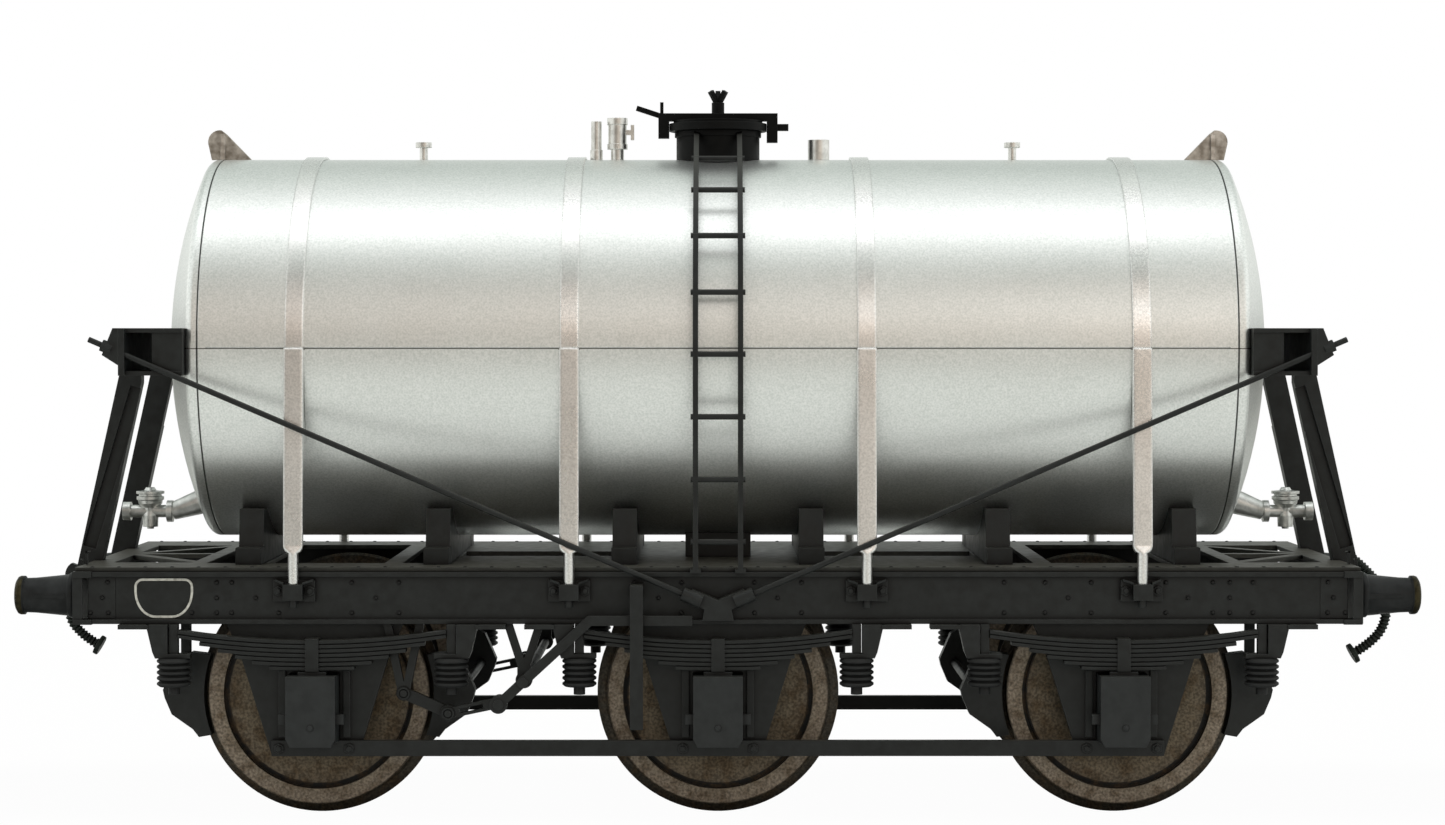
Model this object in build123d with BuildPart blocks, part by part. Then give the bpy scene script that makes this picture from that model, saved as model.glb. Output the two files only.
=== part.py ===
"""Scale model of a six-wheel railway tank car, 7 mm to the foot, in millimetres.

X runs along the wagon, Y across it and Z up. The wheel flanges stand on Z = 0.
The side at -Y is drawn first and mirrored, unless a comment says otherwise.
"""
import os
from math import atan2, cos, degrees, hypot, radians, sin, sqrt

from build123d import *

os.makedirs("parts", exist_ok=True)

# clearances
seat_gap = 0.02
turn_gap = 0.05
shoe_gap = 0.45
beam_clear = 0.1
tie_clear = 0.06
flange_clear = 0.41
spring_clear = 0.63
lever_clear = 0.2

# wheelsets
axle_pitch = 45.5
tread_r = 12.65
flange_depth = 1.2
flange_width = 0.85
flange_tip = 0.55
flange_round = 0.3
wheel_back = 14.5
wheel_width = 3.5
tread_chamfer = 0.15
rim_depth = 1.83
back_recess = 0.7
groove_width = 0.45
groove_depth = 0.9
disc_recess = 0.45
dish = 0.5
hub_r = 3.3
hub_slope = 0.4
axle_r = 2.0
seat_r = 1.3
journal_r = 1.0
journal_end_gap = 0.9

# underframe
overhang = 27.0
headstock_thick = 1.1
solebar_height = 5.82
web_out = 4.3
web_thick = 0.9
sole_reach = 0.7
sole_flange = 0.5
web_notch = 0.5
deck_thick = 0.5
deck_inset = 0.6
deck_end_gap = 0.2
bearer_thick = 1.0
bearer_depth = 3.4
bearer_inner_gap = 0.3
bearer_outer_gap = 0.9

# deck openings
opening_edge = 1.7
middle_half = 3.8
side_half = 15.5
slot_width = 2.4
slot_land = 2.0
lattice_edge = 0.9
lattice_bar = 0.8
lattice_half = 14.5
lattice_end = 3.0
lattice_inner = 11.76
lattice_outer = 2.24
lattice_tip = 0.3
lattice_space = 6.0

# tank
tank_r = 22.35
tank_inset = 13.9
tank_rise = 2.3
rim_width = 1.1
dome_depth = 4.8
knuckle_r = 0.8
seam_width = 0.2
seam_depth = 0.3
rim_groove = 0.16
seam_end = 1.0
band_inset = 11.0
band_share = 0.351
band_width = 2.06
band_thick = 0.32
bar_width = 2.25
bar_thick = 0.8
bar_taper = 0.8
rod_r = 0.6
rod_length = 3.5

# brackets for the band rods
bracket_half = 2.35
bracket_thick = 0.6
bracket_height = 2.4
bracket_rise = 2.52
boss_half = 1.1
boss_over = 0.75
boss_height = 1.8
nut_r = 0.45
nut_drop = 0.8

# saddles
saddle_inset = 5.1
saddle_thick = 2.8
saddle_height = 6.2
saddle_half = 15.0
saddle_splay = 1.0
foot_in = 1.0
foot_reach = 18.0
foot_width = 2.9
foot_height = 1.9
anchor_width = 7.7
anchor_half = 5.0
anchor_over = 1.0

# end frames
beam_drop = 3.05
beam_height = 5.3
beam_plate = 0.5
beam_stand = 1.7
beam_web_thick = 0.7
beam_over = 0.5
beam_flange_in = 0.9
packing_start = 0.2
packing_gap = 2.9
packing_in = 0.2
strut_y = 10.0
strut_depth = 2.7
strut_width = 1.9
strut_stand = 0.5
strut_foot_out = 0.5             # foot of a strut beyond the headstock
strut_head_rise = 0.3
strut_recess = 0.45
strut_rim = 0.6
strut_panel_end = 1.5
strut_drop = 2.4
tie_r = 0.32
tie_low_x = 4.0
tie_low_rise = 3.52
tie_high_rise = 2.3
tie_thread = 4.4
tie_nut_r = 0.75
tie_nut_start = 1.6
tie_nut_length = 1.2
wedge_width = 1.4
wedge_out = 1.8
wedge_cap = 0.6
socket_r = 0.8
socket_length = 2.3
fork_over = 0.2

# running gear
guard_thick = 0.9
guard_rise = 2.1
guard_half_top = 10.0
guard_knee_half = 8.3
guard_knee_drop = 3.98
guard_leg = 2.125
guide_gap = 0.475
guide_strip = 0.8
guide_strip_height = 7.6
guide_strip_thick = 0.5
box_width = 5.55
box_under = 4.74
box_over = 2.76
box_out = 2.5
cover_thick = 0.7
cover_drop = 0.4
cover_cut = 0.5
lug_reach = 0.875
lug_low = 2.64
lug_height = 1.1
lug_thick = 0.8
pad_half = 1.6
pad_height = 0.4
keeper_height = 1.75
keeper_over = 4.8
keeper_thick = 0.9
spring_out = 0.2
spring_width = 1.7
leaf_core = 1.0
leaf_share = 0.72
leaf_least = 0.5
leaf_shares = (0.33, 0.33, 0.277, 0.231, 0.189, 0.147, 0.1044)
spring_rise = 1.15
buckle_half = 0.75
buckle_over = 0.15
buckle_cap = 0.2
hanger_gap = 0.05
hanger_rod = 1.0
hanger_gusset = 0.1
hanger_foot_share = 0.068
hanger_foot_thick = 0.5
hanger_neck = 2.9
hanger_waist = 2.3
hanger_heel = 2.0
hanger_toe = 1.9
shelf_drop = 3.78
shelf_thick = 0.5
stack_r = 1.92
stack_ribs = 5
stack_height = 3.2
stack_groove = 0.3
stud_r = 0.65
stud_length = 0.9

# brake gear, with places along the wagon as shares of the axle pitch
crank_share = -0.778
joint_a_share = -0.667
joint_b_share = -0.54
bend_share = -0.3154
end_share = -0.0637
guide_share = -0.2
shaft_share = 0.265
joint_a_drop = 2.2
joint_b_drop = 1.0
bend_rise = 0.52
vee_thick = 0.8
vee_bar = 0.9
vee_left = 1.9
vee_right = 1.9
vee_boss_r = 0.95
vee_root = 1.5
vee_fork = 0.2
crank_arm = 1.3
crank_boss_r = 0.85
shaft_r = 0.5
link_width = 1.2
link_thick = 0.7
link_boss_r = 0.9
link_slot = 0.5
lever_width = 1.1
lever_out = 1.3
lever_thick = 0.7
lever_boss_r = 1.0
pin_r = 0.6
pin_over = 0.2
guide_width = 1.45
guide_thick = 0.7
guide_drop = 11.58
guide_top = 1.3
guide_lug = 1.6
shoe_set = 1.4
shoe_face_gap = 0.1
shoe_back = (
    (0.6, -4.95), (1.3, -4.05), (3.7, -2.35), (4.5, -0.45),
    (4.7, 0.45), (3.3, 3.65), (1.5, 4.75),
)
shoe_top_angle = 20.0
shoe_low_angle = 21.0
strap_start = 1.6
strap_width = 1.1
strap_in = 0.6
strap_thick = 0.8
strap_foot = 3.2
beam_r = 0.5
beam_off = 2.8

# buffers, couplings and hoses
buffer_y = 20.0
buffer_rise = 3.02
buffer_reach = 6.6
buffer_head_r = 2.2
buffer_head = 1.1
buffer_chamfer = 0.2
buffer_root_r = 2.36
buffer_tip_r = 1.95
buffer_plate_r = 2.55
buffer_plate_thick = 0.85
buffer_rib = 0.5
buffer_rib_over = 0.08
buffer_rib_length = 3.2
hook_plate = 4.4
hook_plate_thick = 0.6
hook_thick = 1.0
hook_half = 0.7
hook_reach = 5.5
hook_rise = 2.2
hook_drop = 0.9
hose_y = 5.0
hose_r = 0.52
hose_stand = 0.9
hose_route = ((0.0, -2.2), (0.0, 4.4), (1.6, 3.8), (5.9, -1.2), (5.5, -4.2), (2.0, -7.9))
hose_bend = 1.1
hose_head_r = 1.1
hose_head = 0.7
hose_clip = 0.7
hose_clip_height = 0.8

# tank top: steps are rows of bottom and top above the tank's crown, and radius
sink = 0.6
vent_x = 35.1
vent_steps = ((-0.6, 1.7, 0.48), (1.5, 2.1, 0.95))
pocket_x = -14.5
pocket_steps = ((-0.6, 1.2, 0.75), (1.0, 4.6, 0.63))
relief_x = -12.0
relief_steps = ((-0.6, 1.4, 0.78), (1.3, 1.9, 1.22), (1.8, 4.4, 1.1), (4.2, 5.0, 1.22))
knob_start = 0.8
knob_reach = 0.8
knob_rise = 3.3
knob_half = 0.3
wing_thick = 0.4
wing_half = 0.9
filler_x = 12.0
filler_r = 1.27
filler_bore = 0.95
filler_height = 2.4
filler_depth = 1.0
manway_r = 4.95
manway_height = 3.4
manway_sink = 1.5
manway_lip = 0.2
manway_lip_height = 0.7
lid_over = 0.85
lid_thick = 1.25
lid_step = 0.35
lid_inset = 0.5
clamp_over = 1.3
clamp_half_width = 0.8
clamp_thick = 0.9
hook_left_drop = 0.8
hook_right_drop = 1.3
tongue_reach = 1.3
tongue_half = 0.4
tongue_low = 0.1
handle_reach = 2.6
handle_rise = 0.65
handle_width = 0.6
handle_pin = 0.4
handle_pin_rise = 1.35
screw_r = 0.75
screw_rise = 1.3
prong_length = 1.9
prong_width = 0.6
prong_thick = 0.55
prong_tilt = -58
lifting_out = 0.5
lifting_lean = 0.55
lifting_length = 5.2
lifting_height = 3.55
lifting_thick = 0.7
lifting_rib = 0.5
lifting_rib_low = 1.1
lifting_rib_high = 0.7

# ladders
ladder_off = 1.9
ladder_out = 1.3
ladder_half = 2.52
ladder_rail = 0.6
ladder_foot = 0.3
ladder_foot_height = 0.4
ladder_foot_in = 0.5
ladder_rung_r = 0.32
ladder_lean = 62.0
rung_pitch = 7.0
rung_first = 3.5
rung_over = 0.55

# discharge valves: the body's outline gives radius and height from the pipe's axis
valve_rise = 2.8
valve_out = 8.2
valve_pipe_r = 0.75
valve_pipe_end = 10.5
valve_cone_start = 5.5
valve_cone_rise = 1.85
valve_cone_small = 1.05
valve_cone_large = 1.75
valve_flange_r = 1.3
valve_flange = 0.65
outlet_r = 1.1
outlet_length = 0.9
valve_outline = (
    (0.4, -2.1), (0.42, -1.9), (0.9, -1.85), (0.95, -0.5), (0.8, 0.0), (0.85, 0.45), (1.4, 0.9),
    (1.45, 1.3), (1.62, 1.4), (1.62, 1.75), (1.35, 1.85), (1.35, 2.05), (1.66, 2.1), (1.66, 2.4),
    (0.75, 2.5), (0.5, 2.85),
)

# places that follow from the sizes
flange_r = tread_r + flange_depth
axle_z = flange_r
axle_xs = (-axle_pitch, 0, axle_pitch)
wheel_face = wheel_back + wheel_width
web_face = wheel_face + web_out
web_back = web_face - web_thick
flange_edge = web_face + sole_reach
guard_back = web_back - guard_thick
frame_half = axle_pitch + overhang
head_in = frame_half - headstock_thick
spring_need = box_over + pad_height + len(leaf_shares) * leaf_least + spring_rise + spring_clear
solebar_low = max(2 * flange_r + flange_clear - solebar_height, axle_z + spring_need)
solebar_top = solebar_low + solebar_height
deck_top = solebar_top + deck_thick
shoe_r = tread_r + shoe_gap
outer_bearer = axle_pitch + shoe_r + bearer_outer_gap
barrel_half = frame_half - tank_inset
rim_x = barrel_half + rim_width
dome_tip = rim_x + dome_depth
tank_low = deck_top + tank_rise
tank_z = tank_low + tank_r
tank_top = tank_z + tank_r
band_far = barrel_half - band_inset
band_xs = (-band_far, -band_far * band_share, band_far * band_share, band_far)
saddle_pitch = (barrel_half - saddle_inset) / 2.5
saddle_xs = [saddle_pitch * k for k in (-2.5, -1.5, -0.5, 0.5, 1.5, 2.5)]
bar_in = tank_r + seat_gap
rod_y = flange_edge + seat_gap + rod_r
tie_y = max(rod_y + bar_thick / 2, bar_in + bar_thick) + tie_r + tie_clear
beam_half = tie_y + beam_over
beam_low = tank_z - beam_drop
beam_top = beam_low + beam_height
beam_web_x = dome_tip + beam_stand
beam_back = beam_web_x + beam_web_thick
tie_low = (tie_low_x, solebar_low + tie_low_rise)
tie_high = (beam_web_x, beam_low + tie_high_rise)
box_half = box_width / 2
box_low = axle_z - box_under
box_top = axle_z + box_over
keeper_high = box_low - turn_gap
keeper_low = keeper_high - keeper_height
spring_y = flange_edge + spring_out
box_front = spring_y + box_out
cover_back = box_front - cover_thick
spring_low = box_top + pad_height
leaf_halves = [share * axle_pitch for share in leaf_shares]
leaf_pitch = (solebar_low - spring_low - spring_rise - spring_clear) / len(leaf_halves)
leaf_thick = leaf_pitch * leaf_share
hanger_off = leaf_halves[0] + hanger_gap + hanger_rod / 2
hanger_foot = hanger_foot_share * axle_pitch
hanger_spots = [(x + s * hanger_off, s) for x in axle_xs for s in (-1, 1)]
shelf_z = solebar_low - shelf_drop
gear_z = shelf_z - stack_height - stud_length
crank = (crank_share * axle_pitch, gear_z)
joint_a = (joint_a_share * axle_pitch, gear_z - joint_a_drop)
joint_b = (joint_b_share * axle_pitch, gear_z - joint_b_drop)
lever_bend = (bend_share * axle_pitch, solebar_low + bend_rise)
lever_end = (end_share * axle_pitch, solebar_low + bend_rise)
guide_x = guide_share * axle_pitch
shaft = tuple(b + shaft_share * (e - b) for b, e in zip(joint_b, lever_bend))
lever_y = flange_edge + lever_out
buffer_z = solebar_low + buffer_rise
hose_x = frame_half + hose_stand
manway_top = tank_top + manway_height
lid_r = manway_r + lid_over
lid_top = manway_top + lid_thick
clamp_half = lid_r + clamp_over
clamp_top = lid_top + clamp_thick
ladder_r = max(tank_r + ladder_off, flange_edge + ladder_out)
valve_z = tank_low + valve_rise
valve_x = rim_x + valve_out


def near(y):
    """Sketch plane on the -Y side, X to the right and Z up, whose extrusions go outwards."""
    return Plane((0, -y, 0), x_dir=(1, 0, 0), z_dir=(0, -1, 0))


def strip(start, end, width):
    """Corners of a straight bar of one width between two points."""
    dx, dz = end[0] - start[0], end[1] - start[1]
    length = hypot(dx, dz)
    nx, nz = -dz / length * width / 2, dx / length * width / 2
    return [
        (start[0] + nx, start[1] + nz),
        (start[0] - nx, start[1] - nz),
        (end[0] - nx, end[1] - nz),
        (end[0] + nx, end[1] + nz),
    ]


def block(x, y, z):
    """Box between two X, two Y and two Z values."""
    with Locations(((x[0] + x[1]) / 2, (y[0] + y[1]) / 2, (z[0] + z[1]) / 2)):
        Box(x[1] - x[0], y[1] - y[0], z[1] - z[0])


def along_x(x_from, x_to, z, radius):
    """Round bar along the wagon on the middle line between two X values."""
    with Locations(Location(((x_from + x_to) / 2, 0, z), (0, 90, 0))):
        Cylinder(radius, x_to - x_from)


def along_y(x, z, radius, y_from, y_to):
    """Round bar across the wagon between two Y values."""
    with Locations(Location((x, (y_from + y_to) / 2, z), (90, 0, 0))):
        Cylinder(radius, y_to - y_from)


def upright(x, y, z_from, z_to, radius):
    """Round upright bar between two heights."""
    with Locations((x, y, (z_from + z_to) / 2)):
        Cylinder(radius, z_to - z_from)


def fitting(x, steps):
    """Round steps one above another on the tank's crown."""
    for low, high, radius in steps:
        upright(x, 0, tank_top + low, tank_top + high, radius)


def trim_to_tank(half=barrel_half):
    """Cut away what lies inside the tank so that a fitting seats on it."""
    with Locations(Location((0, 0, tank_z), (0, 90, 0))):
        Cylinder(tank_r + seat_gap, 2 * half, mode=Mode.SUBTRACT)


tank_axis = Axis((0, 0, tank_z), (1, 0, 0))
tank_plane = Plane((0, 0, tank_z), x_dir=(1, 0, 0), z_dir=(0, -1, 0))

# tank barrel: a plain cylinder with the cladding seams cut as shallow grooves
with BuildPart() as tank_barrel:
    with BuildSketch(tank_plane):
        Polygon(
            (-barrel_half, 0),
            (-barrel_half, tank_r - rim_groove),
            (-barrel_half + rim_groove, tank_r),
            (barrel_half - rim_groove, tank_r),
            (barrel_half, tank_r - rim_groove),
            (barrel_half, 0),
            align=None,
        )
    revolve(axis=tank_axis)
    with Locations((0, -tank_r, tank_z), (0, tank_r, tank_z)):
        Box(2 * (barrel_half - seam_end), 2 * seam_depth, seam_width, mode=Mode.SUBTRACT)
tank_barrel.part.label = "tank_barrel"
export_step(tank_barrel.part, "parts/tank_barrel.step")

# dished tank end: a short rim, a small knuckle and a shallow dome
dome_r = (tank_r**2 + dome_depth**2) / (2 * dome_depth)

end_solids = []
for grow in (0, beam_clear):
    edge_r = tank_r + grow
    tip = dome_tip + grow
    middle = (tip - dome_r + sqrt(dome_r**2 - edge_r**2 / 4), edge_r / 2)
    with BuildPart() as end_solid:
        with BuildSketch(tank_plane) as end_section:
            with BuildLine():
                Polyline((rim_x, edge_r), (barrel_half, edge_r), (barrel_half, 0), (tip, 0))
                ThreePointArc((tip, 0), middle, (rim_x, edge_r))
            make_face()
            fillet(end_section.vertices().sort_by(lambda corner: corner.X + corner.Y)[-1], knuckle_r)
        revolve(axis=tank_axis)
    end_solids.append(end_solid.part)

with BuildPart() as tank_end_right:
    add(end_solids[0])
tank_end_right.part.label = "tank_end_right"
export_step(tank_end_right.part, "parts/tank_end_right.step")

with BuildPart() as tank_end_left:
    add(mirror(tank_end_right.part, about=Plane.YZ, mode=Mode.PRIVATE))
tank_end_left.part.label = "tank_end_left"
export_step(tank_end_left.part, "parts/tank_end_left.step")

# tank bands: flat straps over the upper half of the barrel
with BuildPart() as tank_bands:
    for x in band_xs:
        with BuildSketch(Plane((x - band_width / 2, 0, tank_z), x_dir=(0, 1, 0), z_dir=(1, 0, 0))):
            Circle(bar_in + band_thick)
            Circle(bar_in, mode=Mode.SUBTRACT)
            with Locations((0, -tank_r)):
                Rectangle(3 * tank_r, 2 * tank_r, mode=Mode.SUBTRACT)
        extrude(amount=band_width)
tank_bands.part.label = "tank_bands"
export_step(tank_bands.part, "parts/tank_bands.step")

# band hangers: a bar from the tank's waist down to a screwed rod beside the solebar
bracket_low = solebar_low + bracket_rise
boss_low = bracket_low + (bracket_height - boss_height) / 3
boss_top = boss_low + boss_height
rod_top = boss_top + rod_length
with BuildPart() as band_hangers:
    for x in band_xs:
        bar_foot = rod_top + bar_taper
        with BuildSketch(Plane((x - bar_width / 2, 0, 0), x_dir=(0, -1, 0), z_dir=(-1, 0, 0))):
            Polygon(
                (bar_in, tank_z),
                (bar_in + bar_thick, tank_z),
                (rod_y + bar_thick / 2, bar_foot),
                (rod_y + rod_r / 2, rod_top),
                (rod_y - rod_r / 2, rod_top),
                (rod_y - bar_thick / 2, bar_foot),
                align=None,
            )
        extrude(amount=-bar_width)
        upright(x, -rod_y, boss_top, rod_top, rod_r)
    mirror(about=Plane.XZ)
band_hangers.part.label = "band_hangers"
export_step(band_hangers.part, "parts/band_hangers.step")

# hanger brackets: a bolted plate on the solebar with a boss and nut for the rod
with BuildPart() as hanger_brackets:
    for x in band_xs:
        plate_y = (-web_face - bracket_thick, -web_face)
        block((x - bracket_half, x + bracket_half), plate_y, (bracket_low, bracket_low + bracket_height))
        block((x - boss_half, x + boss_half), (-rod_y - boss_over, -web_face), (boss_low, boss_top))
        upright(x, -rod_y, boss_low - nut_drop, boss_low, nut_r)
    mirror(about=Plane.XZ)
hanger_brackets.part.label = "hanger_brackets"
export_step(hanger_brackets.part, "parts/hanger_brackets.step")

# lifting lugs: a plate along the tank's top edge with a stiffener across it
with BuildPart() as lifting_lugs:
    lug_out = rim_x + lifting_out
    lug_base = tank_top - sink
    lug_side = (-lug_out - lifting_lean, tank_top + 0.54 * lifting_height)
    lug_round = (-lug_out - 0.2 * lifting_lean, tank_top + 0.9 * lifting_height)
    lug_tip = (-lug_out + 1.8 * lifting_lean, tank_top + lifting_height)
    with BuildSketch(near(-lifting_thick / 2)):
        with BuildLine():
            Line((-lug_out, lug_base), lug_side)
            ThreePointArc(lug_side, lug_round, lug_tip)
            Polyline(
                lug_tip,
                (-lug_out + 2.9 * lifting_lean, tank_top + 0.87 * lifting_height),
                (-lug_out + lifting_length, lug_base),
                (-lug_out, lug_base),
            )
        make_face()
    extrude(amount=lifting_thick)
    with BuildSketch(Plane.YZ.offset(lug_tip[0])):
        Polygon(
            (-lifting_rib_low, lug_base),
            (-lifting_rib_high, tank_top + 0.85 * lifting_height),
            (lifting_rib_high, tank_top + 0.85 * lifting_height),
            (lifting_rib_low, lug_base),
            align=None,
        )
    extrude(amount=lifting_rib)
    trim_to_tank(dome_tip)
    mirror(about=Plane.YZ)
lifting_lugs.part.label = "lifting_lugs"
export_step(lifting_lugs.part, "parts/lifting_lugs.step")

# vent pipes: a short pipe under a flat cap
with BuildPart() as vent_pipes:
    for x in (-vent_x, vent_x):
        fitting(x, vent_steps)
    trim_to_tank()
vent_pipes.part.label = "vent_pipes"
export_step(vent_pipes.part, "parts/vent_pipes.step")

# thermometer pocket: a thin capped tube
with BuildPart() as thermometer_pocket:
    fitting(pocket_x, pocket_steps)
    trim_to_tank()
thermometer_pocket.part.label = "thermometer_pocket"
export_step(thermometer_pocket.part, "parts/thermometer_pocket.step")

# relief valve: pipe, flange, body and cap, with a wing knob at the side
with BuildPart() as relief_valve:
    fitting(relief_x, relief_steps)
    knob_z = tank_top + knob_rise
    wing_x = relief_x + knob_start + knob_reach
    block((relief_x + knob_start, wing_x), (-knob_half, knob_half), (knob_z - knob_half, knob_z + knob_half))
    block((wing_x, wing_x + wing_thick), (-knob_half, knob_half), (knob_z - wing_half, knob_z + wing_half))
    trim_to_tank()
relief_valve.part.label = "relief_valve"
export_step(relief_valve.part, "parts/relief_valve.step")

# filler pipe: an open polished pipe
with BuildPart() as filler_pipe:
    filler_top = tank_top + filler_height
    upright(filler_x, 0, tank_top - sink, filler_top, filler_r)
    with Locations((filler_x, 0, filler_top)):
        Cylinder(filler_bore, 2 * filler_depth, mode=Mode.SUBTRACT)
    trim_to_tank()
filler_pipe.part.label = "filler_pipe"
export_step(filler_pipe.part, "parts/filler_pipe.step")

# manway neck: the short round neck that the lid closes
with BuildPart() as manway_neck:
    upright(0, 0, tank_top - manway_sink, manway_top, manway_r)
    upright(0, 0, manway_top - manway_lip_height, manway_top, manway_r + manway_lip)
    trim_to_tank()
manway_neck.part.label = "manway_neck"
export_step(manway_neck.part, "parts/manway_neck.step")

# manway lid: a flat lid with a low step
with BuildPart() as manway_lid:
    upright(0, 0, manway_top, lid_top - lid_step, lid_r)
    upright(0, 0, manway_top, lid_top, lid_r - lid_inset)
manway_lid.part.label = "manway_lid"
export_step(manway_lid.part, "parts/manway_lid.step")

# manway clamp: a bar over the lid with hooked ends, a screw with a three-pronged handle and a lever
with BuildPart() as manway_clamp:
    clamp_y = (-clamp_half_width, clamp_half_width)
    block((-clamp_half, clamp_half), clamp_y, (lid_top, clamp_top))
    block((-clamp_half, -lid_r - seat_gap), clamp_y, (manway_top - hook_left_drop, clamp_top))
    block((lid_r + seat_gap, clamp_half), clamp_y, (manway_top - hook_right_drop, clamp_top))
    tongue_x = (clamp_half - tongue_low, clamp_half + tongue_reach)
    tongue_y = (-tongue_half, tongue_half)
    tongue_z = (manway_top + tongue_low, manway_top + tongue_low + 2 * tongue_half)
    block(tongue_x, tongue_y, tongue_z)
    pin_x = -clamp_half + handle_pin
    pin_y = (-handle_pin / 2, handle_pin / 2)
    block((pin_x - handle_pin / 2, pin_x + handle_pin / 2), pin_y, (lid_top, clamp_top + handle_pin_rise))
    with BuildSketch(near(-tongue_half)):
        handle_root = (-clamp_half + handle_width / 2, clamp_top - handle_width / 2)
        handle_tip = (-clamp_half - handle_reach, clamp_top + handle_rise)
        Polygon(*strip(handle_root, handle_tip, handle_width), align=None)
    extrude(amount=2 * tongue_half)
    screw_top = clamp_top + screw_rise
    upright(0, 0, lid_top, screw_top, screw_r)
    prong_out = prong_length / 2 * cos(radians(prong_tilt))
    prong_up = -prong_length / 2 * sin(radians(prong_tilt)) - prong_thick / 2
    for angle in (90, 210, 330):
        with Locations(Location((0, 0, screw_top), (0, 0, angle))):
            with Locations(Location((prong_out, 0, prong_up), (0, prong_tilt, 0))):
                Box(prong_length, prong_width, prong_thick)
manway_clamp.part.label = "manway_clamp"
export_step(manway_clamp.part, "parts/manway_clamp.step")

# ladder: two flat rails from the solebar round the tank to the manway, with round rungs
lean = radians(ladder_lean)
lean_y = ladder_r * cos(lean)
lean_z = tank_z + ladder_r * sin(lean)
ladder_rise = tank_z - solebar_top
reach = (lean_y - manway_r * 0.85) / sin(lean)
ladder_tip = (lean_y - reach * sin(lean), lean_z + reach * cos(lean))
rail_length = ladder_rise + lean * ladder_r + reach
rung_count = int((rail_length - rung_first - rung_pitch / 3) / rung_pitch) + 1


def ladder_point(run):
    """Place on the rail's centre line after a run up from the solebar top: distance out and height."""
    if run < ladder_rise:
        return ladder_r, solebar_top + run
    turn = (run - ladder_rise) / ladder_r
    if turn < lean:
        return ladder_r * cos(turn), tank_z + ladder_r * sin(turn)
    rest = run - ladder_rise - lean * ladder_r
    return lean_y - rest * sin(lean), lean_z + rest * cos(lean)


with BuildPart() as ladders:
    half_rail = ladder_rail / 2
    for side in (-1, 1):
        rail_x = side * ladder_half - half_rail
        with BuildSketch(Plane((rail_x, 0, 0), x_dir=(0, -1, 0), z_dir=(-1, 0, 0))):
            with BuildLine():
                Line((ladder_r, solebar_top), (ladder_r, tank_z))
                CenterArc((0, tank_z), ladder_r, 0, ladder_lean)
                Line((lean_y, lean_z), ladder_tip)
            trace(line_width=ladder_rail)
        extrude(amount=-ladder_rail)
        block(
            (rail_x - ladder_foot, rail_x + ladder_rail + ladder_foot),
            (-ladder_r - half_rail, -flange_edge + ladder_foot_in),
            (solebar_top, solebar_top + ladder_foot_height),
        )
    for k in range(rung_count):
        out, height = ladder_point(rung_first + k * rung_pitch)
        with Locations(Location((0, -out, height), (0, 90, 0))):
            Cylinder(ladder_rung_r, 2 * (ladder_half + rung_over))
    with Locations((0, 0, clamp_top)):
        Cylinder(manway_r + manway_lip + seat_gap, 2 * (clamp_top - tank_z) + 1, mode=Mode.SUBTRACT)
    mirror(about=Plane.XZ)
ladders.part.label = "ladders"
export_step(ladders.part, "parts/ladders.step")

# discharge valve: a raking pipe from the tank end, a flange, a valve body and a capped outlet
cone_x = rim_x + valve_cone_start
cone_slope = (-1, 0, valve_cone_rise / valve_cone_start)
pipe_end = rim_x + valve_pipe_end
with BuildPart() as valve_one:
    with BuildSketch(Plane((cone_x, 0, valve_z), x_dir=(0, 1, 0), z_dir=cone_slope)):
        Circle(valve_cone_small)
    with BuildSketch(Plane((rim_x, 0, valve_z + valve_cone_rise), x_dir=(0, 1, 0), z_dir=cone_slope)):
        Circle(valve_cone_large)
    loft()
    add(end_solids[1], mode=Mode.SUBTRACT)
    along_x(cone_x - seat_gap, cone_x + valve_flange, valve_z, valve_flange_r)
    along_x(cone_x, pipe_end, valve_z, valve_pipe_r)
    along_x(pipe_end - seat_gap, pipe_end + outlet_length, valve_z, outlet_r)
    with BuildSketch(Plane((valve_x, 0, valve_z), x_dir=(1, 0, 0), z_dir=(0, -1, 0))):
        Polygon((0, valve_outline[0][1]), *valve_outline, (0, valve_outline[-1][1]), align=None)
    revolve(axis=Axis((valve_x, 0, 0), (0, 0, 1)))
for node_name, turn in (("discharge_valve_right", 0), ("discharge_valve_left", 180)):
    with BuildPart() as discharge_valve:
        add(valve_one.part, rotation=(0, 0, turn))
    discharge_valve.part.label = node_name
    export_step(discharge_valve.part, "parts/" + node_name + ".step")

# saddles: bearers across the deck, hollowed to the tank, with a foot block at each side
with BuildPart() as tank_saddles:
    saddle_top = deck_top + saddle_height
    for x in saddle_xs:
        with BuildSketch(Plane((x - saddle_thick / 2, 0, 0), x_dir=(0, 1, 0), z_dir=(1, 0, 0))):
            Polygon(
                (-saddle_half - saddle_splay, deck_top),
                (saddle_half + saddle_splay, deck_top),
                (saddle_half, saddle_top),
                (-saddle_half, saddle_top),
                align=None,
            )
            with Locations((0, tank_z)):
                Circle(tank_r + seat_gap, mode=Mode.SUBTRACT)
        extrude(amount=saddle_thick)
        for side in (-1, 1):
            y_pair = sorted((side * (saddle_half - foot_in), side * foot_reach))
            block((x - foot_width / 2, x + foot_width / 2), y_pair, (deck_top, deck_top + foot_height))
tank_saddles.part.label = "tank_saddles"
export_step(tank_saddles.part, "parts/tank_saddles.step")

# centre anchor: the block that holds the tank lengthwise
with BuildPart() as centre_anchor:
    anchor_x = (-anchor_width / 2, anchor_width / 2)
    block(anchor_x, (-anchor_half, anchor_half), (deck_top, tank_low + anchor_over))
    trim_to_tank()
centre_anchor.part.label = "centre_anchor"
export_step(centre_anchor.part, "parts/centre_anchor.step")

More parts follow.
